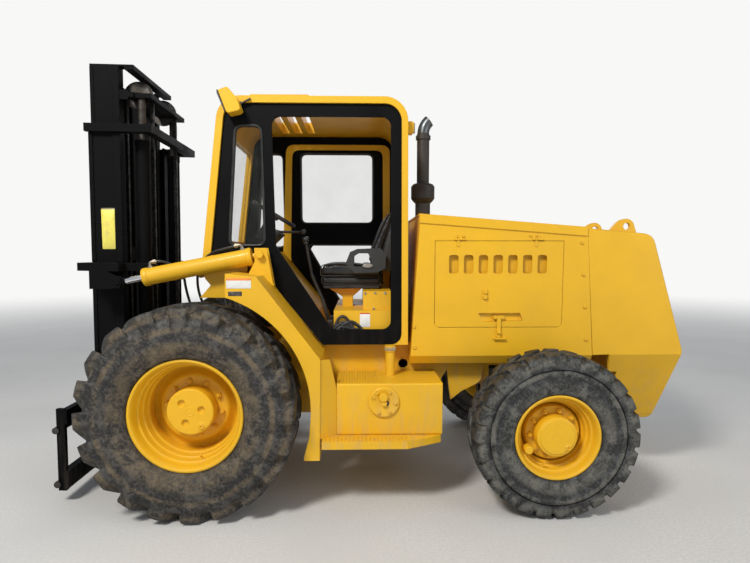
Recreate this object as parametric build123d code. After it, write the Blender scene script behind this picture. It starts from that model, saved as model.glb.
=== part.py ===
"""Rough-terrain mast forklift with pneumatic tyres, standing as parked, mast lowered.

Millimetres. +X runs to the rear of the machine, +Y to its right side, +Z up.
Inside this file X is measured from the front axle. The last step moves every
piece so that the origin lies under the middle of the whole machine.
"""
from build123d import *
import math
import os

# Wheels and axles
WHEELBASE = 2135
FRONT_TYRE_R = 631
FRONT_TYRE_W = 445
FRONT_RIM_R = 305
FRONT_FLANGE_R = 330
FRONT_RIM_W = 356
FRONT_WHEEL_Y = 877.5
REAR_TYRE_R = 490
REAR_TYRE_W = 310
REAR_RIM_R = 228
REAR_FLANGE_R = 252
REAR_RIM_W = 270
REAR_WHEEL_Y = 925
KINGPIN_Y = 700
AXLE_TUBE_R = 100
FRONT_SPINDLE_R = 70
REAR_SPINDLE_R = 40
BEARING_GAP = 0.3

# Chassis
RAIL_Y = 425
RAIL_T = 25
RAIL_TOP = 960
RAIL_LOW = 740
BELLY_LOW = 480
RAIL_END = WHEELBASE + 425
RAIL_HOLE = (1282, 812)
RAIL_HOLE_R = 32

# Cab
CAB_HALF = 560
CAB_BAND = 42
CAB_TOP = 2525
CAB_LOW = 960
CAB_NOSE_X = -5
CAB_ROOF_X = 118
CAB_REAR_X = 1297
CAB_SILL_Z = 1530
CAB_CORNER_R = 150
SIDE_RECESS = 18
SIDE_T = 25
FLOOR_TOP = 1000
FLOOR_T = 40
GLASS_T = 6

# Hood and counterweight
HOOD_HALF = 580
HOOD_T = 8
HOOD_FRONT_LOW = 1316
HOOD_FRONT_TOP = 1376
HOOD_TOP_FRONT = 1794
HOOD_TOP_SEAM = 1712
SEAM_TOP_X = 2450
SEAM_LOW_X = 2510
FOLD_Z = 890
HOOD_LOW = 835
LIP_H = 50
DOOR_X0 = 1470
DOOR_X1 = 2300
DOOR_Z0 = 1075
DOOR_Z1 = 1632
DOOR_GAP = 5
HINGE_Z = 1640
CW_TOP_X = 2880
CW_TOP_Z = 1676
CW_REAR_X = 3110
CW_REAR_Z = 915
CW_LOW_X = 3040
CW_LOW_Z = 400
CW_LOW_HALF = 345

# Mast, in its own upright frame, then leaned back about the foot pin
PIVOT_X = -460
PIVOT_Z = 600
PIVOT_R = 30
MAST_LEAN = 1.0
OUTER_Y = 455
OUTER_TOP = 2340
MIDDLE_TOP = 2757
INNER_TOP = 2700
RAIL_FRONT = -760
RAIL_DEPTH = 200
STAGE_STEP = 15
STAGE_GAP = 5
STAGE_W = 70
CARRIAGE_FRONT = -871
CARRIAGE_HALF = 760
SHAFT_R = 21
TILT_Y = 620
ROD_PIN = (-519, 1372)
BARREL_PIN = (375, 1543)
TILT_BARREL_R = 53
BARREL_END = 58
ROD_PIN_R = 14
PIN_DRIFT = 13
EYE_BORE_R = 18
EYE_END_R = 40


def block(x0, x1, y0, y1, z0, z1):
    """A box from its lowest to its highest corner."""
    return Pos((x0 + x1) / 2, (y0 + y1) / 2, (z0 + z1) / 2) * Box(x1 - x0, y1 - y0, z1 - z0)


def across(sketch, y_low, y_high):
    """Extrude an outline drawn in X and Z from one Y to another."""
    plane = Plane(origin=(0, y_high, 0), x_dir=(1, 0, 0), z_dir=(0, -1, 0))
    return extrude(plane * sketch, y_high - y_low, dir=(0, -1, 0))


def lengthwise(sketch, x_low, x_high):
    """Extrude an outline drawn in Y and Z from one X to another."""
    plane = Plane(origin=(x_low, 0, 0), x_dir=(0, 1, 0), z_dir=(1, 0, 0))
    return extrude(plane * sketch, x_high - x_low, dir=(1, 0, 0))


def upward(sketch, z_low, z_high):
    """Extrude an outline drawn in X and Y from one Z to another."""
    return extrude(Plane.XY.offset(z_low) * sketch, z_high - z_low, dir=(0, 0, 1))


def outline(*points):
    """A closed outline from corner points."""
    return Polygon(*points, align=None)


def rounded(sketch, radius):
    """The outline with every corner rounded."""
    return fillet(sketch.vertices(), radius)


def bar(start, end, radius, bore=0):
    """A round bar or tube between two points."""
    a = Vector(*start)
    span = Vector(*end) - a
    plane = Plane(origin=a, z_dir=span)
    face = Circle(radius)
    if bore:
        face -= Circle(bore)
    return extrude(plane * face, span.length)


def disc(x, z, radius, y_low, y_high):
    """A round plate or pin lying across the machine."""
    return bar((x, y_low, z), (x, y_high, z), radius)


def ring(profile):
    """A turned piece about the Y axis from its half section in radius and Y."""
    return revolve(Polygon(*profile, align=None), axis=Axis.Y)


def both_sides(shape):
    """A piece and its mirror image on the machine's other side."""
    return shape + mirror(shape, Plane.XZ)


def leaned(shape):
    """Tip a piece of the mast back about its foot pin."""
    pivot = Pos(PIVOT_X, 0, PIVOT_Z)
    return pivot * Rot(0, MAST_LEAN, 0) * pivot.inverse() * shape


# Everything that shows is measured into one list, written out at the end
pieces = {}


# Wheels: outer face towards -Y, centre at the origin
def spot(radius, degrees, y):
    """A point on a wheel, by its radius, its angle from the top and its place along the axle."""
    turn = math.radians(degrees)
    return Vector(radius * math.sin(turn), y, radius * math.cos(turn))


def facet(*corners):
    """One flat face from its corners."""
    return Face(Wire.make_polygon(list(corners), close=True))


def skin(near, far):
    """Flat triangles between two rows of points, the second with as many points or twice as many."""
    faces = []
    each = len(far) // len(near)
    for i, here in enumerate(near):
        after = near[(i + 1) % len(near)]
        run = [far[(i * each + j) % len(far)] for j in range(each + 1)]
        faces += [facet(here, run[j], run[j + 1]) for j in range(each)]
        faces.append(facet(here, run[-1], after))
    return faces


def plain_row(y, radius, points, start=0):
    """Points at one radius round the tyre."""
    return [spot(radius, start + 360 * i / points, y) for i in range(points)]


def tread_row(y, start, root_wide, tip_wide, root, tip, count):
    """Points that step up and down over each lug: two at its root and two at its tip."""
    row = []
    for i in range(count):
        middle = start + 360 * i / count
        for turn, radius in ((-root_wide, root), (-tip_wide, tip), (tip_wide, tip), (root_wide, root)):
            row.append(spot(radius, middle + turn / 2, y))
    return row


BEAD_IN = 28


def lugged_tyre(tyre_r, rim_r, width, rim_w, depth, count, sweep, root_wide, tip_wide):
    """A tyre in one skin of flat facets: beads, bulged sidewalls and a bar of tread from each shoulder in turn.

    The sweep and the widths of the lugs are in degrees round the wheel.
    """
    half = width / 2
    root = tyre_r - depth
    wall_r = rim_r + 0.52 * (root - rim_r)
    pitch = 360 / count
    seat_r = (rim_r + BEARING_GAP) / math.cos(math.pi / (2 * count))
    centre = plain_row(0, root, 4 * count, -root_wide / 2)
    faces = []
    sides = []
    for side, phase in ((-1, 0), (1, pitch / 2)):
        bead = plain_row(side * (rim_w / 2 - BEAD_IN), seat_r, 2 * count, phase - root_wide / 2)
        wall = plain_row(side * half, wall_r, 4 * count, phase - root_wide / 2 - sweep * 0.5)
        shoulder = tread_row(side * half * 0.95, phase - sweep / 2, root_wide * 1.08, tip_wide * 1.08,
                             root - 10, tyre_r - SHOULDER_FALL, count)
        inner = tread_row(side * LUG_END_Y, phase + sweep / 2, root_wide * 0.9, tip_wide * 0.85, root, tyre_r, count)
        faces += skin(bead, nearest_start(wall, bead)) + skin(wall, nearest_start(shoulder, wall))
        faces += skin(shoulder, inner) + skin(inner, nearest_start(centre, inner))
        sides.append(bead)
    left, right = sides
    faces += skin(left, nearest_start(right, left))
    return Solid(Shell(faces))


def nearest_start(row, other):
    """The row of points, begun at the one nearest to the other row's first."""
    first = min(range(len(row)), key=lambda i: (row[i] - Vector(other[0].X, row[i].Y, other[0].Z)).length)
    return row[first:] + row[:first]


RIM_WALL = 12
RIM_STEP = 18
NUTS = 10
NUT_R = 17
NUT_H = 22


def rim(rim_r, flange_r, rim_w, disc_y, disc_t, hub_r, hub_y, hub_in, bore_r):
    """A welded rim: flanged barrel stepped down to a dished disc, and the hub drum with its cap."""
    half = rim_w / 2
    deep_r = rim_r - RIM_WALL - 2 * RIM_STEP
    barrel = ring([
        (flange_r, -half), (flange_r, -half + 8), (rim_r, -half + 12), (rim_r, half - 12),
        (flange_r, half - 8), (flange_r, half), (rim_r - RIM_WALL, half),
        (rim_r - RIM_WALL, half - 50), (deep_r, half - 80), (deep_r, -half + 120),
        (deep_r + RIM_STEP, -half + 100), (deep_r + RIM_STEP, -half + 56),
        (rim_r - RIM_WALL, -half + 44), (rim_r - RIM_WALL, -half + 14), (flange_r - 16, -half),
    ])
    foot_r = hub_r * 1.45
    plate = ring([
        (bore_r, disc_y), (bore_r, disc_y + disc_t), (foot_r, disc_y + disc_t),
        (deep_r + 4, disc_y + 60), (deep_r + 4, disc_y + 60 - disc_t), (foot_r, disc_y),
    ])
    hub = ring([
        (0, hub_y), (0, hub_y + 30), (bore_r, hub_y + 30), (bore_r, hub_in), (hub_r * 0.9, hub_in),
        (hub_r * 0.9, disc_y), (hub_r, disc_y), (hub_r, hub_y + 14), (hub_r - 14, hub_y),
    ])
    boss = ring([(0, hub_y - 10), (0, hub_y), (hub_r * 0.42, hub_y), (hub_r * 0.36, hub_y - 10)])
    stud_r = hub_r * 1.24
    nut = extrude(Plane(origin=(0, disc_y + 1, stud_r), x_dir=(1, 0, 0), z_dir=(0, -1, 0)) * RegularPolygon(NUT_R, 6),
                  NUT_H, dir=(0, -1, 0))
    nuts = [Rot(0, 360 * i / NUTS, 0) * nut for i in range(NUTS)]
    return (barrel + plate + hub + boss).fuse(*nuts)


def wheel_at(shape, x, y, z, side):
    """Place a wheel piece on the left (-1) or, mirrored, on the right (+1)."""
    if side > 0:
        shape = mirror(shape, Plane.XZ)
    return Pos(x, side * y, z) * shape


FRONT_DISC_Y = 10
FRONT_HUB_R = 138
FRONT_HUB_Y = -175
FRONT_HUB_IN = 60
REAR_DISC_Y = -20
REAR_HUB_R = 118
REAR_HUB_Y = -130
REAR_HUB_IN = 60
FRONT_LUG_H = 31
FRONT_LUGS = 20
REAR_LUG_H = 18
REAR_LUGS = 22
SHOULDER_FALL = 7
LUG_END_Y = 9
front_tyre = lugged_tyre(FRONT_TYRE_R, FRONT_RIM_R, FRONT_TYRE_W, FRONT_RIM_W, FRONT_LUG_H, FRONT_LUGS,
                         sweep=-13, root_wide=9.0, tip_wide=6.4)
rear_tyre = lugged_tyre(REAR_TYRE_R, REAR_RIM_R, REAR_TYRE_W, REAR_RIM_W, REAR_LUG_H, REAR_LUGS,
                        sweep=-7, root_wide=9.6, tip_wide=7.6)
front_rim = rim(FRONT_RIM_R, FRONT_FLANGE_R, FRONT_RIM_W, FRONT_DISC_Y, 16, FRONT_HUB_R,
                FRONT_HUB_Y, FRONT_HUB_IN, FRONT_SPINDLE_R + BEARING_GAP)
rear_rim = rim(REAR_RIM_R, REAR_FLANGE_R, REAR_RIM_W, REAR_DISC_Y, 14, REAR_HUB_R,
               REAR_HUB_Y, REAR_HUB_IN, REAR_SPINDLE_R + BEARING_GAP)
for side, word in ((-1, "left"), (1, "right")):
    pieces[f"front_tyre_{word}"] = wheel_at(front_tyre, 0, FRONT_WHEEL_Y, FRONT_TYRE_R, side)
    pieces[f"front_rim_{word}"] = wheel_at(front_rim, 0, FRONT_WHEEL_Y, FRONT_TYRE_R, side)
    pieces[f"rear_tyre_{word}"] = wheel_at(rear_tyre, WHEELBASE, REAR_WHEEL_Y, REAR_TYRE_R, side)
    pieces[f"rear_rim_{word}"] = wheel_at(rear_rim, WHEELBASE, REAR_WHEEL_Y, REAR_TYRE_R, side)

# Front axle: a straight housing with the bevel drive in its middle and brake ends
HUB_CLEAR = 8
front_end_y = FRONT_WHEEL_Y - FRONT_HUB_IN - HUB_CLEAR
spindle_end = FRONT_WHEEL_Y - FRONT_HUB_Y - 30 - HUB_CLEAR
axle = ring([
    (0, -spindle_end), (FRONT_SPINDLE_R, -spindle_end), (FRONT_SPINDLE_R, -front_end_y),
    (150, -front_end_y), (150, -640), (AXLE_TUBE_R, -600), (AXLE_TUBE_R, -260), (190, -120),
    (190, 120), (AXLE_TUBE_R, 260), (AXLE_TUBE_R, 600), (150, 640), (150, front_end_y),
    (FRONT_SPINDLE_R, front_end_y), (FRONT_SPINDLE_R, spindle_end), (0, spindle_end),
])
axle = Pos(0, 0, FRONT_TYRE_R) * axle
pad = block(-90, 90, -RAIL_Y - 10, -RAIL_Y + RAIL_T + 10, FRONT_TYRE_R, RAIL_LOW)
pieces["front_axle"] = axle + both_sides(pad)

# Rear axle: a box beam on two trunnions, with a yoke at each end for the steering knuckle
YOKE_H = 95
ARM_T = 25
KNUCKLE_R = 55
TRUNNION_R = 45
TRUNNION_X = 260
beam = block(WHEELBASE - 70, WHEELBASE + 70, -600, 600, REAR_TYRE_R - 85, REAR_TYRE_R + 85)
arm = block(WHEELBASE - 60, WHEELBASE + 60, -KINGPIN_Y, -590,
            REAR_TYRE_R + YOKE_H, REAR_TYRE_R + YOKE_H + ARM_T)
arm += Pos(WHEELBASE, -KINGPIN_Y, REAR_TYRE_R + YOKE_H + ARM_T / 2) * Cylinder(60, ARM_T)
low_arm = mirror(arm, Plane.XY.offset(REAR_TYRE_R))
web = block(WHEELBASE - 60, WHEELBASE + 60, -KINGPIN_Y + 62 + HUB_CLEAR, -590,
            REAR_TYRE_R - YOKE_H, REAR_TYRE_R + YOKE_H)
yoke = arm + low_arm + web
kingpin_hole = Pos(WHEELBASE, -KINGPIN_Y, REAR_TYRE_R) * Cylinder(20 + BEARING_GAP, 400)
yoke -= kingpin_hole
trunnion = bar((WHEELBASE - TRUNNION_X, 0, REAR_TYRE_R + 40), (WHEELBASE + TRUNNION_X, 0, REAR_TYRE_R + 40),
               TRUNNION_R)
pieces["rear_axle"] = beam + both_sides(yoke) + trunnion

# Steering knuckles: a block on the kingpin, the spindle and a steering arm
knuckle = Pos(WHEELBASE, -KINGPIN_Y, REAR_TYRE_R) * Cylinder(KNUCKLE_R, 2 * YOKE_H - 2)
knuckle += Pos(WHEELBASE, -KINGPIN_Y, REAR_TYRE_R) * Cylinder(20, 2 * (YOKE_H + ARM_T))
rear_spindle_end = REAR_WHEEL_Y - REAR_HUB_Y - 30 - HUB_CLEAR
knuckle += bar((WHEELBASE, -KINGPIN_Y, REAR_TYRE_R), (WHEELBASE, -rear_spindle_end, REAR_TYRE_R),
               REAR_SPINDLE_R)
knuckle += bar((WHEELBASE, -KINGPIN_Y, REAR_TYRE_R),
               (WHEELBASE, -(REAR_WHEEL_Y - REAR_HUB_IN - HUB_CLEAR), REAR_TYRE_R), 75)
pieces["knuckle_left"] = knuckle
pieces["knuckle_right"] = mirror(knuckle, Plane.XZ)

# Chassis: two deep side rails tied by cross plates, ears at the front for the mast pins
trunnion_z = REAR_TYRE_R + 40
rail = across(outline(
    (-520, 530), (-400, 530), (-300, RAIL_LOW), (330, RAIL_LOW), (420, BELLY_LOW), (1480, BELLY_LOW),
    (1542, 711), (1580, 770), (1606, 560), (1678, 618), (1773, 665), (1810, 693), (1830, 800),
    (RAIL_END - 120, 800), (RAIL_END - 90, 560), (RAIL_END, 560), (RAIL_END, RAIL_TOP), (-380, RAIL_TOP),
    (-520, 680)), -RAIL_Y, -RAIL_Y + RAIL_T)
rail -= disc(RAIL_HOLE[0], RAIL_HOLE[1], RAIL_HOLE_R, -RAIL_Y - 1, -RAIL_Y + RAIL_T + 1)
rail -= disc(PIVOT_X, PIVOT_Z, PIVOT_R, -RAIL_Y - 1, -RAIL_Y + RAIL_T + 1)
inner = RAIL_Y - RAIL_T
frame = both_sides(rail)
for x0, x1, z0 in ((-300, -275, RAIL_LOW), (440, 465, BELLY_LOW), (1440, 1465, BELLY_LOW)):
    frame += block(x0, x1, -inner, inner, z0, RAIL_TOP)
for x0, x1 in ((WHEELBASE - 240, WHEELBASE - 200), (WHEELBASE + 200, WHEELBASE + 240)):
    hanger = block(x0, x1, -inner, inner, 800, 860) + block(x0, x1, -110, 110, trunnion_z - 90, 800)
    frame += hanger - bar((x0 - 1, 0, trunnion_z), (x1 + 1, 0, trunnion_z), TRUNNION_R)
frame += block(RAIL_END - 60, RAIL_END - 20, -inner, inner, 600, RAIL_TOP)
frame += block(465, 1440, -inner, inner, RAIL_TOP - 20, RAIL_TOP)
frame += block(465, 1440, -inner, inner, BELLY_LOW, BELLY_LOW + 12)
pin_out = OUTER_Y + 12
frame += both_sides(disc(PIVOT_X, PIVOT_Z, PIVOT_R, -pin_out, -inner))
pieces["chassis_frame"] = frame

# Side plates: arched mudguards behind the front wheels, with a wide return flange
PLATE_Y = 930
PLATE_T = 12
ARCH_R = 700
FLANGE_IN = 560
STEP_LOW = 407
STEP_TOP = 452
plate = across(outline((216, 1435), (394, 1417), (759, 932), (750, 323), (560, 323), (150, 1200), (213, 1301)),
               -PLATE_Y, -PLATE_Y + PLATE_T)
plate -= disc(0, FRONT_TYRE_R, ARCH_R, -PLATE_Y - 1, -PLATE_Y + PLATE_T + 1)
plate -= across(outline((560, 560), (697, 560), (688, 460), (668, 390), (656, 340), (656, 300), (560, 300)),
                -PLATE_Y - 1, -PLATE_Y + PLATE_T + 1)
splash = upward(outline((752, -926), (850.5, -846), (850.5, -834), (752, -914)), STEP_TOP + BEARING_GAP, 925)
splash -= across(outline((851, 730), (812, 926), (900, 926), (900, 730)), -1000, -700)
flange = across(outline((216, 1435), (394, 1417), (759, 932), (750, 323), (738, 323), (747, 928), (388, 1405),
                        (216, 1423)), -PLATE_Y + PLATE_T, -FLANGE_IN)
post = across(outline((739, 560), (751, 560), (759, 932), (747, 932)), -FLANGE_IN, -RAIL_Y)
cheek = outline((300, 1423), (340, 1500), (340, 1585), (415, 1585), (455, 1345), (388, 1415))
bracket = across(cheek, -TILT_Y - 40, -TILT_Y - 26) + across(cheek, -TILT_Y + 26, -TILT_Y + 40)
bracket -= disc(BARREL_PIN[0], BARREL_PIN[1], 20, -TILT_Y - 60, -TILT_Y + 60)
bracket += disc(BARREL_PIN[0], BARREL_PIN[1], 20, -TILT_Y - 48, -TILT_Y + 48)
pieces["side_plates"] = both_sides(plate + flange + post + bracket + splash)

# Cab shell: a hoop of rounded box section, its front, roof and rear panels, sides let in
cab_outer = outline((CAB_NOSE_X, CAB_SILL_Z), (CAB_ROOF_X, CAB_TOP), (CAB_REAR_X, CAB_TOP),
                    (CAB_REAR_X + 6, CAB_LOW), (745, CAB_LOW), (290, CAB_SILL_Z))
cab_outer = fillet(cab_outer.vertices().sort_by(Axis.Y)[-2:], CAB_CORNER_R)
cab_inner = outline((CAB_NOSE_X + 50, CAB_SILL_Z + 10), (CAB_ROOF_X + 37, CAB_TOP - CAB_BAND),
                    (CAB_REAR_X - 40, CAB_TOP - CAB_BAND), (CAB_REAR_X - 35, CAB_LOW), (750, CAB_LOW),
                    (286, CAB_SILL_Z + 10))
cab_inner = fillet(cab_inner.vertices().sort_by(Axis.Y)[-2:], CAB_CORNER_R - CAB_BAND)
cab_inner = fillet(cab_inner.vertices().sort_by(Axis.X)[-1:], 70)
hoop = across(cab_outer - cab_inner, -CAB_HALF, CAB_HALF)
ROOF_FRONT = CAB_ROOF_X + CAB_CORNER_R + 2
ROOF_REAR = CAB_REAR_X - CAB_CORNER_R - 2
FAR = 5000
front = hoop & block(-FAR, ROOF_FRONT, -FAR, FAR, -FAR, FAR)
rear = hoop & block(ROOF_REAR, FAR, -FAR, FAR, -FAR, FAR)
roof = hoop & block(ROOF_FRONT, ROOF_REAR, -FAR, FAR, 2000, FAR)
WINDSCREEN_HALF = 470
front -= block(-200, 220, -WINDSCREEN_HALF, WINDSCREEN_HALF, 1640, 2330)
rear -= block(CAB_REAR_X - 97, CAB_REAR_X + 103, -430, 430, 1830, 2330)
COWL_T = 12
cowl_line = [(-5, 1435), (7, 1391), (41, 1349), (-29, 1270), (124, 1269)]
cowl = across(outline((CAB_NOSE_X, CAB_SILL_Z), *cowl_line, (124, 1269 + COWL_T), (-5, 1270 + COWL_T), (57, 1349),
                      (19, 1395), (CAB_NOSE_X + COWL_T, 1437), (CAB_NOSE_X + COWL_T, CAB_SILL_Z)), -CAB_HALF, CAB_HALF)
cheek = across(outline((CAB_NOSE_X, CAB_SILL_Z), *cowl_line, (216, 1320), (270, 1420), (286, CAB_SILL_Z)),
               -CAB_HALF, -CAB_HALF + COWL_T)
ROOF_SLOTS = 3
ROOF_SLOT_X = 395
ROOF_SLOT_PITCH = 98
ROOF_SLOT_W = 56
ROOF_SLOT_HALF = 380
HATCH_TOP = 2566
hatch = across(outline((275, CAB_TOP), (292, HATCH_TOP), (664, HATCH_TOP), (681, CAB_TOP)), -430, 430)
roof += hatch
for i in range(ROOF_SLOTS):
    slot_x = ROOF_SLOT_X + i * ROOF_SLOT_PITCH
    roof -= block(slot_x, slot_x + ROOF_SLOT_W, -ROOF_SLOT_HALF, ROOF_SLOT_HALF, 2400, 2600)
pieces["cab_front"] = front + cowl + both_sides(cheek)
pieces["cab_roof"] = roof
pieces["cab_rear"] = rear

side_y = CAB_HALF - SIDE_RECESS
door_hole = outline((440, 2405), (1190, 2405), (1192, 1059), (811, 1059), (455, 1600))
door_hole = rounded(door_hole, 55)
quarter = rounded(outline((160, 1600), (213, 2350), (378, 2350), (388, 1600)), 50)
upper_pane = rounded(outline((516, 1794), (516, 2354), (1104, 2354), (1104, 1794)), 50)
lower_pane = rounded(outline((560, 1624), (1119, 1624), (1119, 1150), (830, 1150)), 45)
left_panel = across(cab_inner - door_hole - quarter, -side_y, -side_y + SIDE_T)
right_panel = across(cab_inner - upper_pane - lower_pane - quarter, side_y - SIDE_T, side_y)
pieces["cab_side_left"] = left_panel
pieces["cab_side_right"] = right_panel

# Glass: quarter lights, right windows, windscreen and rear pane, each let into its opening
pane_y = side_y - SIDE_T / 2
glass = across(quarter, -pane_y - GLASS_T / 2, -pane_y + GLASS_T / 2)
for pane in (quarter, upper_pane, lower_pane):
    glass += across(pane, pane_y - GLASS_T / 2, pane_y + GLASS_T / 2)
lean_front = outline((30, 1640), (30 + 85, 2330), (30 + 85 + GLASS_T, 2330), (30 + GLASS_T, 1640))
glass += across(lean_front, -WINDSCREEN_HALF, WINDSCREEN_HALF)
glass += block(CAB_REAR_X - 19, CAB_REAR_X - 19 + GLASS_T, -430, 430, 1830, 2330)
pieces["cab_glass"] = glass

# Cab floor and the sloping toe panel in front of the driver's feet
panel_in = side_y - SIDE_T
floor = block(760, 1261, -panel_in, panel_in, CAB_LOW, FLOOR_TOP) & across(cab_inner, -panel_in, panel_in)
toe = across(outline((290, 1500), (290, CAB_SILL_Z), (345, CAB_SILL_Z), (372, 1564), (705, 1152), (752, 1040),
                     (760, FLOOR_TOP), (760, CAB_LOW), (745, CAB_LOW)), -panel_in, panel_in)
ledge = block(45, 290, -panel_in, panel_in, 1515, 1530)
pieces["cab_floor"] = floor
pieces["toe_panel"] = toe + ledge

# Driver's place: a stepped base, a pan on a flared pedestal, a two-layer cushion, a back and arms
SEAT_GAP = 0.3
RISER_TOP = 1178
BASE_TOP = 1310
PAN_Z0 = 1305
PAN_Z1 = 1332
SEAT_HALF = 240
SEAT_FRONT = 714
SEAT_REAR = 1147
PAD_Z0 = 1398
PAD_TOP = 1492
base = block(820, 1200, -490, 490, FLOOR_TOP, RISER_TOP)
base += block(1013, 1202, -450, 450, RISER_TOP, BASE_TOP - 8)
base += across(outline((868, RISER_TOP), (868, 1246), (772, PAN_Z0), (1008, PAN_Z0), (941, 1246), (941, RISER_TOP)),
               -150, 150)
base += block(772, 1120, -200, 200, PAN_Z0, PAN_Z1 - SEAT_GAP)
pieces["seat_pedestal"] = base
layer = across(rounded(outline((SEAT_FRONT + 12, PAN_Z1), (SEAT_FRONT, PAD_Z0), (SEAT_REAR, PAD_Z0),
                               (SEAT_REAR, PAN_Z1)), 16), -SEAT_HALF + 12, SEAT_HALF - 12)
pad = across(rounded(outline((SEAT_FRONT, PAD_Z0 - 8), (SEAT_FRONT + 8, PAD_TOP - 10), (820, PAD_TOP),
                             (SEAT_REAR, PAD_TOP - 40), (SEAT_REAR, PAD_Z0 - 8)), 20), -SEAT_HALF, SEAT_HALF)
pieces["seat_cushion"] = layer + pad
back_line = outline((1052, PAD_TOP + 4), (1064, 1575), (1154, 1768), (1192, 1836), (1220, 1836), (1240, 1640),
                    (1238, 1424), (SEAT_REAR + SEAT_GAP, 1424), (SEAT_REAR + SEAT_GAP, PAD_TOP + 4))
pieces["seat_back"] = across(back_line, -235, 235)
ARM_IN = 250
ARM_OUT = 305
arm = outline((898, 1493), (925, 1561), (974, 1582), (1131, 1588), (1173, 1547), (1166, 1451), (1117, 1424),
              (959, 1417), (918, 1452)) - rounded(outline((950, 1462), (950, 1530), (985, 1552), (1062, 1552),
                                                          (1078, 1462)), 14)
arms = across(arm, -ARM_OUT, -ARM_IN) + block(1152, 1166, -ARM_IN, -235 - SEAT_GAP, 1452, 1492)
pieces["seat_arms"] = both_sides(arms)

# Controls: a dash cowl on the ledge, a leaning column with its wheel, a stalk, a lever and pedals
SILL_Z = CAB_SILL_Z + 10 + SEAT_GAP
WHEEL_R = 165
WHEEL_GRIP_R = 14
WHEEL_MID = Vector(372, 0, 1838)
WHEEL_LEAN = Vector(-0.52, 0, -0.86).normalized()
dash = across(outline((150, SILL_Z), (215, 1640), (395, 1722), (425, 1690), (300, 1570), (280, SILL_Z)), -190, 190)
column = bar(WHEEL_MID + WHEEL_LEAN * 30, WHEEL_MID + WHEEL_LEAN * 300, 32)
wheel_plane = Plane(origin=WHEEL_MID, x_dir=(0, 1, 0), z_dir=WHEEL_LEAN)
hub_cap = extrude(wheel_plane * Circle(44), 34, dir=WHEEL_LEAN)
spokes = [Rot(0, 0, 120 * i) * Pos(WHEEL_R / 2, 0) * Rectangle(WHEEL_R, 26) for i in range(3)]
spider = extrude(wheel_plane * (spokes[0] + spokes[1] + spokes[2]), 8, dir=WHEEL_LEAN)
hexagon = [(WHEEL_R + WHEEL_GRIP_R * math.cos(math.radians(a)), 4 + WHEEL_GRIP_R * math.sin(math.radians(a)))
           for a in range(0, 360, 60)]
grip = revolve(Plane.XZ * outline(*hexagon), axis=Axis.Z)
grip = Location(wheel_plane) * grip
stalk = bar(WHEEL_MID + WHEEL_LEAN * 150, (590, -150, 1700), 9) + Pos(596, -154, 1702) * Sphere(20)
lever = block(762, 808, -176, -124, FLOOR_TOP, FLOOR_TOP + 50) + bar((780, -150, 1040), (728, -150, 1221), 14)
lever += bar((728, -150, 1221), (653, -150, 1400), 12)
lever += bar((653, -150, 1400), (612, -150, 1630), 10) + Pos(611, -150, 1638) * Cylinder(18, 44)
pedals = block(770, 800, -380, -260, FLOOR_TOP, 1090) + block(770, 812, 60, 150, FLOOR_TOP, 1080)
pieces["driving_controls"] = dash + column + hub_cap + spider + grip + stalk
pieces["floor_levers"] = lever
pieces["pedals"] = pedals

# Hood: folded sheet sides with a chamfered lower edge, a front sheet, doors at both sides
hood_side = outline((HOOD_FRONT_LOW, HOOD_LOW), (HOOD_FRONT_TOP, HOOD_TOP_FRONT),
                    (SEAM_TOP_X, HOOD_TOP_SEAM), (SEAM_LOW_X, HOOD_LOW))
HOOD_TUCK = 40
RIB_T = 30
RIB_DEPTH = 50
door_cut = outline((DOOR_X0, DOOR_Z0), (DOOR_X0, DOOR_Z1), (DOOR_X1, DOOR_Z1), (DOOR_X1, DOOR_Z0))
door_cut = fillet(door_cut.vertices().sort_by(Axis.Y)[:2], 40)


def hood_section(wall):
    """The hood seen from the front, drawn in by a wall's thickness."""
    half = HOOD_HALF - wall
    return outline((-half, 2000), (-half, FOLD_Z), (HOOD_TUCK - half, HOOD_LOW), (half - HOOD_TUCK, HOOD_LOW),
                   (half, FOLD_Z), (half, 2000))


front_slope = (HOOD_FRONT_TOP - HOOD_FRONT_LOW) / (HOOD_TOP_FRONT - HOOD_LOW)
hood_room = outline((HOOD_FRONT_LOW + HOOD_T, HOOD_LOW),
                    (HOOD_FRONT_LOW + HOOD_T + (2000 - HOOD_LOW) * front_slope, 2000), (2700, 2000), (2700, HOOD_LOW))
hood = across(hood_side, -HOOD_HALF, HOOD_HALF) & lengthwise(hood_section(0), 1200, 2700)
hood -= across(hood_room, -HOOD_HALF, HOOD_HALF) & lengthwise(hood_section(HOOD_T), 1200, 2800)
hood -= across(door_cut, -HOOD_HALF - 1, HOOD_HALF + 1)
seam_rib = across(outline((SEAM_TOP_X - RIB_T, HOOD_TOP_SEAM), (SEAM_TOP_X, HOOD_TOP_SEAM),
                          (SEAM_LOW_X, HOOD_LOW), (SEAM_LOW_X - RIB_T, HOOD_LOW)),
                  -HOOD_HALF + HOOD_T, -HOOD_HALF + HOOD_T + RIB_DEPTH)
hood += both_sides(seam_rib & block(SEAM_TOP_X - RIB_T, SEAM_LOW_X, -HOOD_HALF, 0, FOLD_Z, HOOD_TOP_SEAM - LIP_H))
hood -= block(1200, 1500, -RAIL_Y - 6, RAIL_Y + 6, 700, RAIL_TOP + 6)
HINGE_R = 6
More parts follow.
